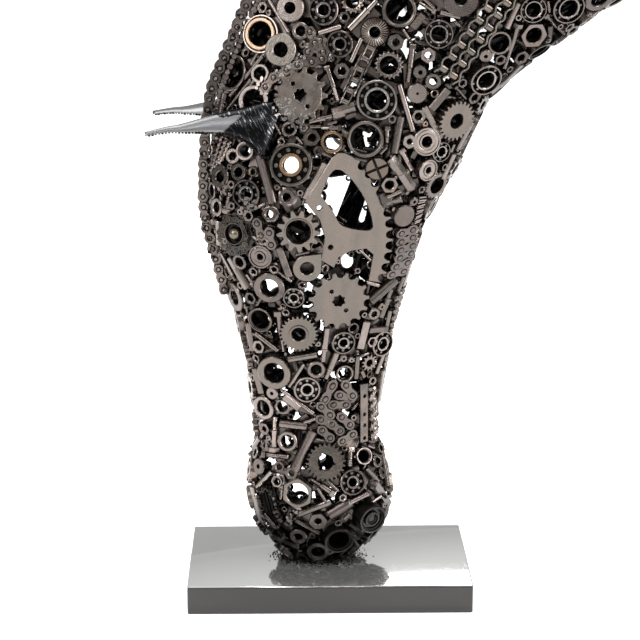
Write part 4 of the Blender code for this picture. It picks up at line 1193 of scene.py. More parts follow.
def lay_crest_rods(pins, outward):
    """Short rods across the crest under the chains, their ends showing beside them."""
    heap = named_heap("weld_crest_rods", "welded_scrap")
    for pin, out, ahead in zip(pins[:-1], outward, pins[1:]):
        for share in (0.0, 0.5):
            place = Vector(pin).lerp(Vector(ahead), share) - Vector(out) * (CHAIN_HEIGHT / 2 + 4 * MM)
            if OPEN[NEAREST.find(place)[1]] < 2 * MM:
                continue
            width = rng.choice((6, 7, 8)) * MM
            shape = cached("rod", (3 * CHAIN_WIDTH + rng.uniform(-4, 5) * MM), width)
            sunk = lying_along(place, (0, 1, 0), out) @ Matrix.Translation((0, 0, -width / 2))
            heap.add(shape, sunk, dirt=0.2)


def lay_mane():
    for name, pins, outward in mane_routes():
        heap = part_heap(name, "links", "mane_chain")
        lay_chain(heap, pins, outward, CHAIN_WIDTH, CHAIN_HEIGHT, CHAIN_ROLLER, 0.42)
        for pin, out in zip(pins, outward):
            occupy(pin - out * 4 * MM, 7 * MM)
            for _ in range(6):
                size = rng.uniform(1.2, 2.8) * MM
                side = rng.uniform(-4, 4), rng.choice((-1, 1)) * rng.uniform(4.5, 7), rng.uniform(-4, 4)
                lump = Matrix.Translation(Vector(pin) + Vector(side) * MM) @ Matrix.Scale(size, 4)
                heap.add(BLOB, lump, dirt=rng.choice((0.1, 0.9)))
        if name == "mane_chain_middle":
            lay_crest_rods(pins, outward)


def make_wave(links, sway, height, thickness):
    """A wavy strip on edge along X, as the bent plates of a twisted chain look from above."""
    half, top = thickness / 2, height / 2
    levels = []
    for k in range(8 * links + 1):
        x, y = k * DUPLEX_PITCH / 8, sway * math.sin(2 * math.pi * (k / 8 + 0.25))
        levels.append([(x, y - half, -top), (x, y + half, -top), (x, y + half, top * 0.9), (x, y, top),
                       (x, y - half, top * 0.9)])
    return skinned(levels, False)


def lay_duplex():
    """The strip of double chain on the neck, along its node's long axis."""
    normal = node_place("neck_chain")[0].to_3x3().col[2]
    points = node_points("neck_chain")
    centre = points.mean(axis=0)
    along = Vector(np.linalg.svd(np.unique(np.round(points, 6), axis=0) - centre)[2][0])
    if along.z < 0:
        along = -along
    reach = np.abs((points - centre) @ np.array(along)).max()
    links = round(2 * reach / DUPLEX_PITCH)
    pins = [Vector(centre) + along * (k - links / 2) * DUPLEX_PITCH for k in range(links + 1)]
    heap = part_heap("neck_chain", "links")
    base = lying_along(pins[0], along, normal)
    strip = make_wave(links, 1.5 * MM, 11 * MM, 2 * MM)
    roller = across(make_rod(9 * MM, 9 * MM, 14))
    pin_through = across(make_rod(DUPLEX_WIDTH - 2 * MM, 4.5 * MM, 8, dirt=0.6))
    for offset in (-1, 0, 1):
        row = base @ Matrix.Translation((0, offset * (DUPLEX_WIDTH / 2 - 2.2 * MM), 0))
        heap.add(strip, row, tone=0.55)
    for k in range(links):
        here = base @ Matrix.Translation(((k + 0.5) * DUPLEX_PITCH, 0, 0))
        heap.add(pin_through, here, tone=0.2)
        for side in (-1, 1):
            beside = Matrix.Translation((0, side * DUPLEX_WIDTH * 0.23, 0))
            heap.add(roller, here @ beside, tone=rng.uniform(0.1, 0.5), warm=rng.choice((0, 0, 0, 0.1)))
    side = normal.cross(along)
    for pin in pins:
        for lean in (-0.25, 0.25):
            occupy(pin + side * lean * DUPLEX_WIDTH - normal * 5 * MM, DUPLEX_WIDTH * 0.3)


def make_boss(outer, bore, height):
    """A cup with a disc and a smaller cup in it."""
    return joined(make_cup(outer, bore, height), make_disc(25 * MM, height - 4 * MM),
                  make_cup(19 * MM, 8 * MM, height - 1 * MM))


# Named machine parts: each replaces its CAD node, where the node is

NAMED_PARTS = {
    "temple_bearing": (make_bearing, 18, {"balls": 9, "warm_inner": 0.8, "shine_inner": 0.0}),
    "neck_bearing": (make_bearing, 22, {"balls": 10, "warm_inner": 0.3, "shine_inner": 0.7, "shine": 0.3}),
    "throat_bearing": (make_bearing, 19, {"balls": 9}),
    "right_neck_bearing": (make_bearing, 20, {"balls": 10}),
    "jaw_cup_ring": (make_cup, 32, {}),
    "neck_cup_ring": (make_cup, 29, {}),
    "poll_washer": (make_ring, 16, {}),
    "nose_washer": (make_ring, 24, {}),
    "lip_ring": (make_cup, 24, {}),
    "right_nose_ring": (make_ring, 24, {}),
    "right_chin_ring": (make_ring, 20, {}),
    "cheek_gear": (make_gear, 27, {"teeth": 13, "hub": 31 * MM}),
    "nose_gear": (make_gear, 16, {"teeth": 26, "hub": 22 * MM}),
    "muzzle_gear": (make_gear, 18, {"teeth": 24, "notch": 2 * MM}),
    "throat_gear": (make_gear, 17, {"teeth": 24}),
    "right_temple_gear": (make_gear, 20, {"teeth": 16, "hub": 30 * MM}),
    "right_neck_gear": (make_gear, 18, {"teeth": 22, "hub": 24 * MM}),
    "right_muzzle_gear": (make_gear, 26, {"teeth": 18}),
    "chin_disc": (make_boss, 24, {}),
    "muzzle_nut": (make_nut, 25, {}),
}


# How dark some parts are made, by dirt and painted shade: the lip ring and chin disc near black.
PART_DIRT_AND_SHADE = {"lip_ring": 0.93, "chin_disc": 0.93, "throat_gear": 0.12, "nose_gear": 0.12}


def place_named_parts():
    sink = 3 * MM
    for name, (maker, bore, options) in NAMED_PARTS.items():
        place, reach, height = node_place(name)
        if name == "muzzle_nut":
            place = upright_on(place.translation, place.to_3x3().col[2], 25)
        shape = maker(2 * reach, bore * MM, height + sink, **options)
        sunk = place @ Matrix.Translation((0, 0, -sink))
        part_heap(name).add(shape, sunk, tone=rng.uniform(0.6, 0.9), dirt=PART_DIRT_AND_SHADE.get(name, 0.0))
        take(place.translation, reach)
        HOLLOWS.append((place.translation, reach * 0.6))


def through(level, px, py):
    """Where the line of sight through a pixel crosses the plane of a matrix, in that plane."""
    inverse = level.inverted()
    start = inverse @ CAMERA_AT
    ahead = inverse.to_3x3() @ sight(px, py)
    return start - ahead * (start.z / ahead.z)


def place_sprockets():
    """The three sprockets, cut from plate with their holes."""
    for name, teeth in (("jaw_sprocket", 15), ("poll_sprocket", 13), ("right_cheek_sprocket", 23)):
        place, reach, height = node_place(name)
        tooth, _, normal = place.to_3x3().col
        level = upright_on(place.translation, normal)
        x_axis, y_axis, _ = level.to_3x3().col
        phase = math.atan2(tooth.dot(y_axis), tooth.dot(x_axis))
        plane = level @ Matrix.Rotation(phase, 4, "Z")
        bore, tone = spline_bore(7.4 * MM), 0.5
        holes = [circle_points(2.5 * MM, 12, Matrix.Rotation(-phase, 2) @ Vector(centre))
                 for centre in circle_points(14.7 * MM, 2, first=math.radians(126))]
        if name == "right_cheek_sprocket":
            shown = through(level, *NOTCH_LIGHT)
            back = np.array(plane.inverted() @ level)[:2, :2]
            bore = circle_points(12.5 * MM, 32)
            holes = [[tuple(back @ point) for point in circle_points(8.5 * MM, 24, centre)]
                     for centre in circle_points(shown.length, 6, first=math.atan2(shown.y, shown.x))]
        if name == "poll_sprocket":
            tone = 0.8
        heap = part_heap(name)
        heap.add(curve_plate([sprocket_outline(teeth), bore] + holes, height), plane, tone=tone)
        if name == "poll_sprocket":
            face = height + 0.8 * MM
            heap.add(curve_plate([circle_points(24 * MM, 40), bore] + holes, face), plane, tone=tone)
            weld_on(level @ Matrix.Translation((0, 0, face)), reach - 3 * MM)
        take(place.translation, reach)


def weld_on(top, reach):
    """Fine weld on the face of the sprocket by the ear, kept within its teeth."""
    for pixel, spread, count in WELDS_ON_SPROCKET:
        middle = through(top, *pixel)
        for _ in range(count):
            at = middle + Vector((rng.gauss(0, 0.5), rng.gauss(0, 0.5), 0)) * spread * METRES_PER_PIXEL
            bead = Matrix.Translation(at) @ flattened(rng.uniform(0.4, 1) * 1.7 * MM, 1.8, 0.6)
            if at.length < reach:
                weld = named_heap("weld_on_sprocket", "welded_scrap")
                weld.add(BLOB, top @ bead, tone=1.0, shine=rng.choice((0.0, 0.8)))


def place_teardrop():
    place, _, height = node_place("teardrop_plate")
    level = upright_on((0, 0, 0), place.to_3x3().col[2])
    low = (node_points("teardrop_plate") @ np.array(level)[:3, :3]).min(axis=0)
    radius = 15.5 * MM
    centre = Vector(low + [radius, radius, 0])
    shape = make_teardrop(2 * radius, radius, height)
    part_heap("teardrop_plate").add(shape, level @ Matrix.Translation(centre), tone=0.7)
    occupy(level @ centre, radius)


def place_chainring():
    radius = RING_PITCH_RADIUS * RING_HOLE / 2
    holes = [circle_points(radius, 12, centre) for centre in ring_points(RING_HOLES)]
    shape = curve_plate([RING_EDGE, window_outline()] + holes, RING_THICKNESS)
    part_heap("cheek_chainring").add(shape, RING_FRAME, tone=0.5)
    for x, y in RING_EDGE:
        occupy(RING_FRAME @ Vector((x, y, RING_THICKNESS)), 3 * MM)


def place_eyes():
    """A cup with a bright ball, in a ring of small chain."""
    mouth = 12 * MM
    for word in SIDES:
        place, reach, height = node_place("eye_cup_" + word)
        normal = place.to_3x3().col[2]
        heap = part_heap("eye_cup_" + word)
        rim = reach * 0.84
        profile = [(rim, -2 * MM), (rim, height - 3 * MM), (mouth + 0.6 * MM, height - 2 * MM),
                   (mouth + 0.4 * MM, height + 1 * MM), (mouth - 0.8 * MM, height + 1 * MM),
                   (mouth - 1.2 * MM, height - 4 * MM), (8.6 * MM, height - 4.5 * MM), (8.2 * MM, 2.5 * MM),
                   (2 * MM, 2 * MM), (2 * MM, -2 * MM)]
        # The cup's bore wall is painted black, a painted shade.
        cup = bored(profile, 32, 2 * mouth - 1.8 * MM, height - 2 * MM, 1.0)
        heap.add(cup, place, tone=0.4, dirt=0.35)
        # The small links round the eye are darkened, partly as dirt and partly as painted shade.
        for away, beads, low in ((reach - 15.5 * MM, 13, -1 * MM), (1.5 * MM, 17, 2.5 * MM)):
            for k in range(beads):
                turn = 2 * math.pi * (k + 0.3 * rng.random()) / beads
                centre = place @ Vector((*polar(reach - away, turn), height - 4 * MM - low))
                ahead = place.to_3x3() @ Vector((-math.sin(turn), math.cos(turn), rng.uniform(-0.3, 0.3)))
                leant = lying_along(centre, ahead, tilted(normal, 25))
                small = leant @ Matrix.Scale(rng.uniform(0.5, 0.62), 4)
                heap.add(LINK, small, tone=0.5 * rng.random(), dirt=0.5)
        points = node_points("eye_ball_" + word)
        centre = Vector((points.max(axis=0) + points.min(axis=0)) / 2)
        ball = make_ball(7.1 * MM, rows=11, steps=24)
        shown = Matrix.Translation(centre + normal * 1 * MM)
        part_heap("eye_ball_" + word).add(ball, shown, tone=0.7, warm=0.15, dirt=0.1)
        occupy(place.translation + normal * height * 0.5, reach)
        PIECES.append((np.array(place.translation), reach))


def line_nostrils():
    """Keeps each nostril open and sets a rim of darkened beads round it, with rods down its inside painted
    black as its shade.
    """
    top, foot = near_hit(*NOSTRIL_TOP)[0], near_hit(*NOSTRIL_FOOT)[0]
    round_end = NOSTRIL_WIDTH / 2
    for side in (1, -1):
        high, low = [BODY.find_nearest(Vector((p.x, side * p.y, p.z)))[0] for p in (top, foot)]
        middle, half = (high + low) / 2, (high - low).length / 2
        place = lying_along(middle, high - low, Vector((-0.55, -0.8 * side, -0.1)).normalized())
        outline = [(x + math.copysign(half - round_end, x), y)
                   for x, y in circle_points(round_end, 16, first=0.1)]
        for point in even_route([(x, y, 0) for x, y in outline + outline[:1]], 2.4 * MM):
            away = Vector((rng.uniform(-1, 1), rng.uniform(-1, 1.5), rng.uniform(-3, 2))) * MM
            bead = place @ Matrix.Translation(Vector(point) + away + Vector((0, 0, OUTER_LIFT - 2 * MM)))
            bead = tilted_frame(bead, 40) @ Matrix.Scale(rng.uniform(0.45, 0.9), 4)
            heap_for(middle).add(cached("disc", 5 * MM, 0), bead, tone=0.6 * rng.random(), dirt=0.7)
        for k in range(4):
            down = place @ Matrix.Translation((0, (k - 0.5) * 4.5 * MM, -11 * MM))
            heap_for(middle).add(cached("threaded", 2 * half, 4 * MM), down, tone=0.2, dirt=1.0)
        for k in range(7):
            occupy(high.lerp(low, k / 6), round_end + 3 * MM)
            HOLLOWS.append((high.lerp(low, k / 6), round_end))


def tilted_frame(place, degrees):
    """A place turned a little about an axis in its own plane, at random."""
    turn = rng.uniform(0, 2 * math.pi)
    axis = Vector((math.cos(turn), math.sin(turn), 0))
    return place @ Matrix.Rotation(math.radians(rng.uniform(-degrees, degrees)), 4, axis)


# Ears, bent from sheet: rows along an ear, in percent of the head's length, with the arch third

HEAD_LENGTH = 0.525
PLINTH_THICKNESS = 0.033
EAR_ROWS = (
    (-9.2, 92.6, 9.4, 3.2, 8.2, 2.8),
    (-12.4, 92.4, 10.1, 4.0, 8.6, 1.4),
    (-16.8, 95.2, 6.1, 3.8, 9.2, 0.4),
    (-21.0, 96.5, 3.9, 2.7, 10.0, 0.0),
    (-23.5, 96.8, 3.0, 2.1, 10.5, 0.0),
    (-26.9, 96.8, 2.1, 1.6, 11.3, 0.0),
    (-30.7, 96.8, 1.2, 1.2, 12.3, 0.0),
    (-33.5, 96.8, 0.8, 0.8, 13.1, 0.0),
    (-37.8, 96.2, 0.5, 0.4, 14.3, 0.0),
)
EAR_SWEEP = 185


def ear_row(step):
    """A row of an ear between the rows given, on a smooth curve through them."""
    low = min(int(step), len(EAR_ROWS) - 2)
    t = step - low
    rows = [EAR_ROWS[min(max(low + k, 0), len(EAR_ROWS) - 1)] for k in (-1, 0, 1, 2)]
    return [0.5 * (2 * b + (c - a) * t + (2 * a - 5 * b + 4 * c - d) * t**2 + (3 * b - a - 3 * c + d) * t**3)
            for a, b, c, d in zip(*rows)]


def ear_point(side, step, across):
    """A point of an ear's sheet: step counts rows from the root, across runs from 0 to 1 over the arch."""
    x, rim, arch, half, out, rake = ear_row(step)
    t = math.radians(EAR_SWEEP * across)
    forward = rake * max(0.0, -math.cos(t)) ** 2
    share = HEAD_LENGTH / 100
    return Vector((share * (x - forward), side * share * (out - half * math.cos(t)),
                   PLINTH_THICKNESS + share * (rim + arch * math.sin(t))))


def make_ear(word, side, material):
    """A sheet swept along the ear's rows, with beads along its lower edges."""
    spans, arch, last = 40, 20, len(EAR_ROWS) - 1
    builder = bmesh.new()
    rows = [[builder.verts.new(ear_point(side, last * k / spans, i / arch)) for i in range(arch + 1)]
            for k in range(spans + 1)]
    for low, high in zip(rows, rows[1:]):
        for i in range(arch):
            builder.faces.new((low[i], low[i + 1], high[i + 1], high[i]))
    bmesh.ops.recalc_face_normals(builder, faces=builder.faces)
    mesh = bpy.data.meshes.new(f"ear_{word}_sheet")
    builder.to_mesh(mesh)
    builder.free()
    mesh.shade_smooth()
    mesh.materials.append(material)
    ear = new_object(f"ear_{word}_sheet", mesh)
    shell = ear.modifiers.new("Sheet", "SOLIDIFY")
    shell.thickness, shell.offset = 2 * MM, 0
    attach(ear, "root")
    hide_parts(f"ear_{word}")

    trim = named_heap(f"ear_{word}_trim", "ear_sheet")
    for rim in (0.0, 1.0):
        route = even_route([ear_point(side, last * k / 60, rim) for k in range(2, 61)], 3.6 * MM)
        for k, here in enumerate(route[:-1]):
            size = rng.uniform(1.4, 2.9) * MM * (1 - 0.4 * k / len(route))
            bead = Matrix.Translation(Vector(here) - Vector((0, 0, 0.8 * MM))) @ Matrix.Scale(size, 4)
            trim.add(BLOB, bead, tone=0.3, dirt=1.0)
    for point in node_points("ear_" + word)[::3]:
        near, _, _, gap = BODY.find_nearest(Vector(point))
        if gap < 6 * MM:
            occupy(near, 4 * MM)


# Packing what is left


def free_length(start, direction, width, most, squeeze=1.0):
    """How far a bar may run from a point in a direction before it meets something."""
    reach = 0.0
    step = 3 * MM
    point = Vector(start)
    while reach < most:
        point = point + direction * step
        _, index, gap = NEAREST.find(point)
        if gap > 9 * MM or CLEARANCE[index] < squeeze * width / 2 or OPEN[index] < width / 2:
            break
        reach += step
    return reach


def pick(low, high):
    """A free sample whose clearance lies between two values, or any above the lower one."""
    free = (CLEARANCE >= low) & (OPEN >= low)
    for choice in (free & (CLEARANCE < high), free):
        found = np.flatnonzero(choice)
        if len(found):
            return int(found[rng.randrange(len(found))])
    return None


def fill_discs(size, count, kinds):
    """Packs up to a number of round pieces of a size. Big ones stay off what is bent."""
    radius, big = size / 2 * MM, size > 18
    for _ in range(2 * count if big else count):
        index = pick(radius * 0.92, radius * 0.92 + 2.2 * MM)
        if index is None:
            return
        kind, bore = rng.choice(kinds)
        point = Vector(SAMPLES[index])
        if big and bend(point, radius) > 0.03:
            occupy(point, 1 * MM)
            continue
        normal = tilted(smooth_normal(point, radius), 5)
        finish = {"warm": rng.choice((0.1, 0.2, 0.3))} if rng.random() < 0.06 else {}
        lift = OUTER_LIFT + rng.uniform(-1.5, 1.5) * MM
        put_disc(kind, size * MM, size * bore * MM, point, normal, rng.uniform(0, 60), lift, **finish)


def direction_at(normal, turn):
    """The direction across a normal at a turn."""
    return upright_on((0, 0, 0), normal).to_3x3() @ Vector((math.cos(turn), math.sin(turn), 0))


def fill_bars(width, shortest, longest, count, kinds):
    """Packs up to a number of bars of a width, each as long as its place allows."""
    for _ in range(count):
        index = pick(width / 2 * MM, (width / 2 + 2.5) * MM)
        if index is None:
            return
        point = Vector(SAMPLES[index])
        normal = smooth_normal(point, 8 * MM)
        best, ends, first = 0.0, (point, point), rng.uniform(0, math.pi)
        for k in range(10):
            direction = direction_at(normal, first + math.pi * k / 10)
            ahead = free_length(point, direction, width * MM, longest * MM / 2)
            behind = free_length(point, -direction, width * MM, longest * MM / 2)
            if ahead + behind > best:
                best, more = ahead + behind, width * 0.3 * MM
                ends = point - direction * (behind + more), point + direction * (ahead + more)
        start, end = (Vector(SAMPLES[NEAREST.find(place)[1]]) for place in ends)
        short = min(best, (end - start).length) < shortest * MM
        if short or blocks_sight(start, end, width * MM, WHITE_SPOTS):
            occupy(point, 0.8 * MM)
            continue
        kind = rng.choice(kinds)
        lift = OUTER_LIFT + rng.uniform(-1.5, 1.0) * MM
        put_bar(kind, width * MM, start, end, tilted(normal, 4), lift)


BIG_KINDS = (
    ("bearing", 0.38), ("cup", 0.76), ("gear", 0.4), ("coarse_gear", 0.45), ("ring", 0.6), ("sealed", 0.35),
)
MID_KINDS = (("bearing", 0.36), ("nut", 0.55), ("cup", 0.7), ("ring", 0.55), ("sealed", 0.3), ("gear", 0.4),
             ("washer", 0.45), ("nut", 0.5), ("splined", 0.6), ("holed_disc", 0.3))
SMALL_KINDS = (
    ("nut", 0.5), ("nut", 0.5), ("ring", 0.55), ("flange_nut", 0.42), ("holed_disc", 0.3), ("cup", 0.65),
)
TINY_KINDS = (("nut", 0.5), ("ring", 0.5), ("holed_disc", 0.35), ("cup", 0.6))
BAR_KINDS = ("rod", "bolt", "bolt", "pin", "square", "tube", "threaded", "coupling")
THIN_KINDS = ("rod", "bolt", "pin", "square", "threaded", "rod")


def fill_body():
    """Packs the rest of the body, from large pieces to small ones."""
    for size, count in ((40, 14), (36, 26), (32, 44), (28, 80)):
        fill_discs(size, count, BIG_KINDS)
    fill_bars(9, 26, 48, 110, BAR_KINDS)
    for size, count in ((25, 100), (22, 150), (19, 200)):
        fill_discs(size, count, MID_KINDS)
    fill_bars(7, 18, 44, 240, BAR_KINDS)
    for size, count in ((17, 220), (15, 240), (13, 240)):
        fill_discs(size, count, SMALL_KINDS)
    fill_bars(5.5, 13, 36, 320, THIN_KINDS)
    for size, count in ((11, 240), (9, 240)):
        fill_discs(size, count, TINY_KINDS)
    fill_bars(4, 9, 28, 380, THIN_KINDS)
    fill_discs(7, 200, TINY_KINDS)


def blocks_sight(start, end, width, spots):
    """Whether a bar would stand in a line of sight that stays open."""
    shares = np.linspace(0, 1, 9)[:, None]
    points = np.array(start) * (1 - shares) + np.array(end) * shares - np.array(CAMERA_AT)
    lines = np.array([sight(*pixel) for pixel, _ in spots])
    along = points @ lines.T
    away = np.sqrt(np.maximum((points ** 2).sum(axis=1)[:, None] - along ** 2, 0))
    reach = OPEN_SHARE * np.array([radius for _, radius in spots]) * along / FOCAL_PIXELS
    return bool((away - reach < width / 2).any())


def keep_clear(depth, spots):
    """Forgets what is taken, and notes how far each point at a depth is from the open lines of sight."""
    CLEARANCE[:] = 1.0
    OPEN[:] = 1.0
    inside = SAMPLES - SAMPLE_NORMALS * depth - np.array(CAMERA_AT)
    for (px, py), radius in spots:
        line = np.array(sight(px, py))
        along = inside @ line
        away = np.linalg.norm(inside - np.outer(along, line), axis=1)
        np.minimum(OPEN, away - 0.6 * radius * along / FOCAL_PIXELS, out=OPEN)


PLAIN_KINDS = ("plain_rod", "plain_flat", "plain_flat")
# Each inner layer: its depth, its kinds, and how dark it is painted, as the shade inside the body.
INNER_LAYERS = ((5 * MM, ("rod", "flat", "square", "flat", "pin"), 0.45), (11 * MM, PLAIN_KINDS, 0.95),
                (17 * MM, PLAIN_KINDS, 1.0))


# Widths and greatest lengths of the inner bars in millimetres, and how many at most
INNER_BARS = ((13, 44, 560), (9, 36, 480), (6, 26, 480), (4, 20, 500), (2.5, 14, 500))


def inner_layers():
    """Bars and rods on the inside, plain and painted dark as its shade, layer behind layer, that close most
    of the gaps.
    """
    for depth, kinds, dirt in INNER_LAYERS:
        first = dirt < 0.5
        spots = WHITE_SPOTS + DARK_SPOTS * first
        keep_clear(depth + 3 * MM, spots)
        # The first layer stays out of big bores, so they show the deeper layers' painted shade.
        for middle, radius in HOLLOWS * first:
            occupy(middle, radius + 1 * MM)
        for width, longest, count in INNER_BARS:
            for _ in range(count):
                index = pick(width / 2 * MM * 0.75, 1.0)
                if index is None:
                    break
                point = Vector(SAMPLES[index])
                normal = smooth_normal(point, 12 * MM)
                along = direction_at(normal, rng.uniform(0, math.pi))
                half = rng.uniform(0.3, 0.5) * longest * MM
                start, end = (point + way * free_length(point, way, width * MM, half, 0.5)
                              for way in (-along, along))
                if (end - start).length < 5 * MM:
                    occupy(point, 1 * MM)
                elif not blocks_sight(start - normal * depth, end - normal * depth, width * MM, spots):
                    put_bar(rng.choice(kinds if width > 5 else PLAIN_KINDS), width * MM, start, end, normal,
                            rng.uniform(-1.5, 1.5) * MM - depth, "inner", dirt=dirt)


def add_welds():
    """Small beads of weld where pieces touch."""
    points = np.array([point for point, _ in PIECES])
    radii = np.array([radius for _, radius in PIECES])
    tree = tree_of(points)
    for k, (point, radius) in enumerate(zip(points, radii)):
        for _, other, gap in tree.find_n(point, 7):
            apart = gap < 1e-6 or gap > radius + radii[other] + 3 * MM
            if other <= k or apart or rng.random() > 0.55:
                continue
            at = Vector(point).lerp(Vector(points[other]), radius / gap)
            normal = smooth_normal(at, 6 * MM)
            size = rng.uniform(0.9, 2.1) * MM
            bead = upright_on(at + normal * rng.uniform(-3, 2.5) * MM, normal, rng.uniform(0, 360))
            heap_for(at, "weld").add(BLOB, bead @ flattened(size, 1.7, 0.7), dirt=0.1)


# Materials


class Nodes:
    """The node tree of a material or world, and short ways to add to it."""

    def __init__(self, owner, last):
        owner.use_nodes = True
        self.tree = owner.node_tree
        self.last = self.tree.nodes[last]
        self.where = self.add("TexCoord").outputs["Object"]

    def feed(self, node, values):
        """Links or sets inputs of a node. A colour gets its alpha."""
        for name, value in values.items():
            socket = node.inputs[name]
            if hasattr(value, "is_linked"):
                self.tree.links.new(value, socket)
            else:
                socket.default_value = (*value, 1) if socket.type == "RGBA" else value

    def finish(self, **values):
        """Sets the last node's inputs, whose names have underscores for spaces."""
        self.feed(self.last, {name.replace("_", " "): value for name, value in values.items()})

    def add(self, kind, values=None, **settings):
        node = self.tree.nodes.new("ShaderNode" + kind)
        for name, value in settings.items():
            setattr(node, name, value)
        self.feed(node, values or {})
        return node

    def maths(self, operation, *values):
        return self.add("Math", dict(enumerate(values)), operation=operation).outputs[0]

    def line(self, value, slope, base):
        """A value times a slope, plus a base."""
        return self.maths("ADD", self.maths("MULTIPLY", value, slope), base)

    def mix(self, share, low, high, blend="MIX"):
        values = {"Factor": share, "A": low, "B": high}
        return self.add("Mix", values, data_type="RGBA", blend_type=blend).outputs["Result"]

    def spread(self, value, low, high, most=1.0):
        """A value between two limits, spread from zero to the most."""
        values = {"Value": value, "From Min": low, "From Max": high, "To Max": most}
        return self.add("MapRange", values).outputs["Result"]

    def ramp(self, position, stops):
        ramp = self.add("ValToRGB", {"Fac": position})
        elements = ramp.color_ramp.elements
        for place, colour in stops[1:-1]:
            elements.new(place).color = (*colour, 1)
        for element, (place, colour) in ((elements[0], stops[0]), (elements[-1], stops[-1])):
            element.position, element.color = place, (*colour, 1)
        return ramp.outputs["Color"]

    def noise(self, scale, detail, stretch=None, lean=0.0):
        """Noise, stretched along the axes where asked, and leant about Y."""
        source = self.where
        if stretch:
            values = {"Vector": source, "Rotation": (0, lean, 0), "Scale": [1 / share for share in stretch]}
            source = self.add("Mapping", values, vector_type="TEXTURE").outputs["Vector"]
        return self.add("TexNoise", {"Vector": source, "Scale": scale, "Detail": detail}).outputs["Fac"]

    def bump(self, height, strength, distance):
        values = {"Height": height, "Strength": strength, "Distance": distance}
        self.finish(Normal=self.add("Bump", values).outputs["Normal"])


def new_material(name):
    made = bpy.data.materials.new(name)
    return made, Nodes(made, "Principled BSDF")


def scrap_material(name, dark, light, rough, brushed=False):
    """Lacquered steel scrap: each piece has its own tone, and dirt with painted shade, scratches and warm
    metal where marked; it grows darker towards the bottom.
    """
    made, nodes = new_material(name)
    marks = nodes.add("Attribute", attribute_name="finish").outputs
    tone, warm, shine = nodes.add("SeparateColor", {"Color": marks["Color"]}).outputs
    dirt = marks["Alpha"]
    cloud = nodes.noise(90, 4)
    stain = nodes.noise(55, 3, (1, 1, 0.12)) if brushed else nodes.noise(45, 3)
    shade = nodes.line(tone, 0.6, nodes.maths("MULTIPLY", cloud, 0.55))
    steel = nodes.ramp(shade, ((0.15, dark), (0.95, light)))
    hue = nodes.maths("FRACT", nodes.maths("MULTIPLY", tone, 7.3))
    tint = nodes.mix(hue, (0.97, 1.0, 0.94), (1.04, 0.99, 0.98))
    steel = nodes.mix(1.0, steel, tint, "MULTIPLY")
    rusty = nodes.mix(nodes.spread(stain, 0.40, 0.62, 0.7), steel, (0.140, 0.113, 0.096))
    bronze = nodes.mix(warm, rusty, (0.33, 0.215, 0.13))
    bright = nodes.mix(shine, bronze, (0.62, 0.60, 0.57))
    level = nodes.add("SeparateXYZ", {"Vector": nodes.where}).outputs["Z"]
    # Darker towards the bottom, from 0.12 m down to 0.074 m.
    darkening = nodes.spread(level, 0.120, 0.074, 0.93)
    # Dirt with painted shade from the finish, or the bottom's darkening, mixes the colour to near black.
    darkness = nodes.maths("MULTIPLY", dirt, nodes.line(cloud, 0.4, 0.85))
    darkness = nodes.maths("MAXIMUM", darkness, nodes.maths("MULTIPLY", darkening, nodes.line(cloud, 0.9, 0.55)))
    darkness = nodes.maths("MINIMUM", darkness, 1.0)
    worn = nodes.line(cloud, 0.26, rough - 0.12)
    worn = nodes.maths("SUBTRACT", worn, nodes.maths("MULTIPLY", shine, 0.14))
    nodes.finish(Base_Color=nodes.mix(darkness, bright, (0.006, 0.005, 0.0045)), Metallic=1.0,
                 Roughness=nodes.line(dirt, 0.25, worn), Coat_Weight=0.15, Coat_Roughness=0.15)
    nodes.bump(nodes.noise(260, 2, (1, 6, 0.5)) if brushed else nodes.noise(900, 2), 0.35, 0.0004)
    return made


def ear_material():
    """Polished sheet, near black and scratched towards the root."""
    made, nodes = new_material("polished_ear")
    x, _, z = nodes.add("SeparateXYZ", {"Vector": nodes.where}).outputs
    wobble = nodes.maths("MULTIPLY", nodes.noise(60, 3), 0.016)
    slanted = nodes.maths("SUBTRACT", nodes.maths("ADD", x, wobble), nodes.maths("MULTIPLY", z, 1.07))
    fold = nodes.maths("MULTIPLY", nodes.maths("GREATER_THAN", nodes.maths("ADD", z, wobble), 0.5645),
                       nodes.maths("GREATER_THAN", x, -0.127))
    root = nodes.maths("MAXIMUM", nodes.spread(slanted, -0.687, -0.683), fold)
    scratch = nodes.noise(150, 4, (5.0, 0.6, 0.6), math.radians(-30))
    marks = nodes.maths("MULTIPLY", nodes.maths("GREATER_THAN", scratch, 0.60), root)
    base = nodes.mix(root, (0.18, 0.18, 0.184), (0.012, 0.012, 0.013))
    scored = nodes.mix(nodes.maths("MULTIPLY", marks, 0.4), base, (0.30, 0.30, 0.31))
    nodes.finish(Base_Color=scored, Metallic=1.0, Roughness=nodes.line(root, -0.16, 0.40))
    nodes.bump(scratch, 0.2, 0.0005)
    return made


def plinth_material():
    """Polished plate: its top mirrors the room, its sides are painted dark as shade, with fine pits."""
    made, nodes = new_material("plinth_plate")
    normal = nodes.add("NewGeometry").outputs["Normal"]
    level = nodes.maths("GREATER_THAN", nodes.add("SeparateXYZ", {"Vector": normal}).outputs["Z"], 0.5)
    pitted = nodes.maths("GREATER_THAN", nodes.noise(1400, 2), 0.70)
    # Painted shade: faces that do not point up get a near-black colour, the top a pale one.
    base = nodes.mix(level, (0.050, 0.048, 0.047), (0.80, 0.80, 0.79))
    spotted = nodes.mix(nodes.maths("MULTIPLY", pitted, 0.3), base, (0.1, 0.09, 0.08))
    nodes.finish(Base_Color=spotted, Metallic=0.9, Roughness=nodes.line(nodes.noise(14, 2), 0.06, 0.05))
    nodes.bump(pitted, 0.1, 0.0003)
    return made


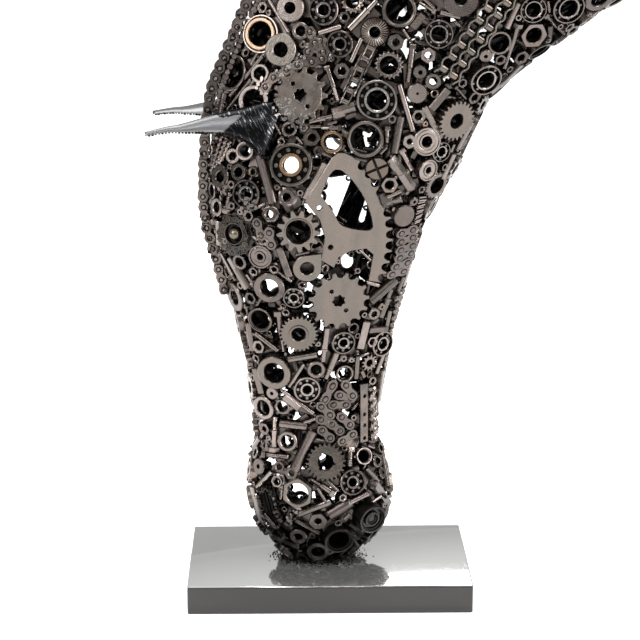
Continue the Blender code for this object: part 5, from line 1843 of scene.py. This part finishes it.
def make_plinth():
    """The plate with a fine seam round it, just under its upper edge, and crumbs of weld on it."""
    low, high = (np.array(corner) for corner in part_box("plinth"))
    middle, half, top = (low + high) / 2, (high - low) / 2, high[2]
    seam, groove, ease, corner = top - 2.2 * MM, 0.7 * MM, 0.8 * MM, 1.5 * MM
    foot = seam - 0.5 * MM
    levels = []
    for level, inset in ((0, ease), (ease, 0), (foot, 0), (foot, groove), (seam, groove), (seam, 0),
                         (top - ease, 0), (top, ease)):
        x, y = half[0] - inset, half[1] - inset
        outline = [(x, -y + corner), (x, y - corner), (x - corner, y), (-x + corner, y)]
        outline += [(-a, -b) for a, b in outline]
        levels.append([(middle[0] + a, middle[1] + b, level) for a, b in outline])
    plate = Heap("plinth_plate_detail", "plinth_plate", "plinth")
    plate.add(skinned(levels, False), Matrix.Identity(4), tone=0.5)
    plate.build(plinth_material())
    crumbs = named_heap("weld_spatter", "welded_scrap")
    for _ in range(900):
        turn, away = rng.uniform(0, 2 * math.pi), 0.008 * abs(rng.gauss(0, 1))
        x = -0.010 + (0.033 + away) * math.cos(turn) * 1.15
        y = (0.026 + away) * math.sin(turn)
        size = rng.uniform(0.35, 0.95) * MM
        crumb = Matrix.Translation((x, y, top + size * 0.3)) @ Matrix.Scale(size, 4)
        crumbs.add(BLOB, crumb, tone=0.3, dirt=0.3)


# Room, light and camera

LIGHTS = (
    ("key", (-1.9, -1.6, 1.9), (0.9, 1.6), 55), ("side", (2.0, -1.3, 1.1), (0.5, 1.9), 46),
    ("front", (0.1, -2.6, 2.4), (1.6, 0.4), 22), ("back", (0.6, 1.8, 2.9), (1.4, 0.9), 45),
    ("top", (0.1, 0.2, 2.6), (1.6, 1.0), 35),
)
LIGHTS_AIM = Vector((0, 0, 0.5))
FLOOR_SIZE = 14.0


def make_room():
    """A pale floor, a grey sky that the camera sees as white, and the lights."""
    builder = bmesh.new()
    bmesh.ops.create_grid(builder, x_segments=1, y_segments=1, size=FLOOR_SIZE / 2)
    mesh = bpy.data.meshes.new("floor")
    builder.to_mesh(mesh)
    builder.free()
    pale, nodes = new_material("floor")
    nodes.finish(Base_Color=(0.9, 0.9, 0.9), Roughness=0.9, Emission_Color=(1, 1, 1), Emission_Strength=0.65)
    mesh.materials.append(pale)
    new_object("floor", mesh)

    world = bpy.data.worlds.new("studio")
    bpy.context.scene.world = world
    nodes = Nodes(world, "Background")
    up = nodes.add("SeparateXYZ", {"Vector": nodes.add("TexCoord").outputs["Generated"]}).outputs["Z"]
    greys = ((0.42, (0.50,) * 3), (0.55, (0.42,) * 3), (0.85, (0.72,) * 3))
    sky = nodes.ramp(nodes.line(up, 0.5, 0.5), greys)
    seen = nodes.add("LightPath").outputs["Is Camera Ray"]
    nodes.finish(Color=nodes.mix(seen, sky, (1.0, 1.0, 1.0)), Strength=1.0)

    for name, place, size, power in LIGHTS:
        light = bpy.data.lights.new(name, "AREA")
        light.shape = "RECTANGLE"
        light.size, light.size_y = size
        light.energy = power
        aimed(new_object(name, light), Vector(place), LIGHTS_AIM)


def aimed(thing, place, aim):
    """Sets a lamp or camera at a place, looking at another."""
    thing.location = place
    thing.rotation_euler = (aim - place).to_track_quat("-Z", "Y").to_euler()
    return thing


def make_camera():
    data = bpy.data.cameras.new("camera")
    data.sensor_width = SENSOR
    data.lens = SENSOR * FOCAL_PIXELS / FRAME_PIXELS
    bpy.context.scene.camera = aimed(new_object("camera", data), CAMERA_AT, CAMERA_AIM)


def main():
    bpy.context.scene.view_settings.view_transform = "Standard"
    make_camera()
    make_room()
    keep_clear(0, WHITE_SPOTS + DARK_SPOTS)
    place_named_parts()
    place_sprockets()
    place_teardrop()
    place_chainring()
    place_eyes()
    lay_mane()
    lay_duplex()
    polished = ear_material()
    for word, side in SIDES.items():
        make_ear(word, side, polished)
    line_nostrils()
    place_scrap_in_view()
    fill_body()
    add_welds()
    inner_layers()
    make_plinth()

    scrap = scrap_material("scrap_metal", (0.062, 0.052, 0.050), (0.272, 0.234, 0.222), 0.21)
    plate = scrap_material("brushed_plate", (0.070, 0.063, 0.059), (0.142, 0.127, 0.114), 0.27, True)
    chain = scrap_material("chain_metal", (0.040, 0.033, 0.031), (0.17, 0.143, 0.133), 0.30)
    finishes = {"welded_scrap": scrap, "machined_parts": plate, "mane_chain": chain, "ear_sheet": plate}
    for heap in HEAPS.values():
        heap.build(finishes[heap.slot])


main()
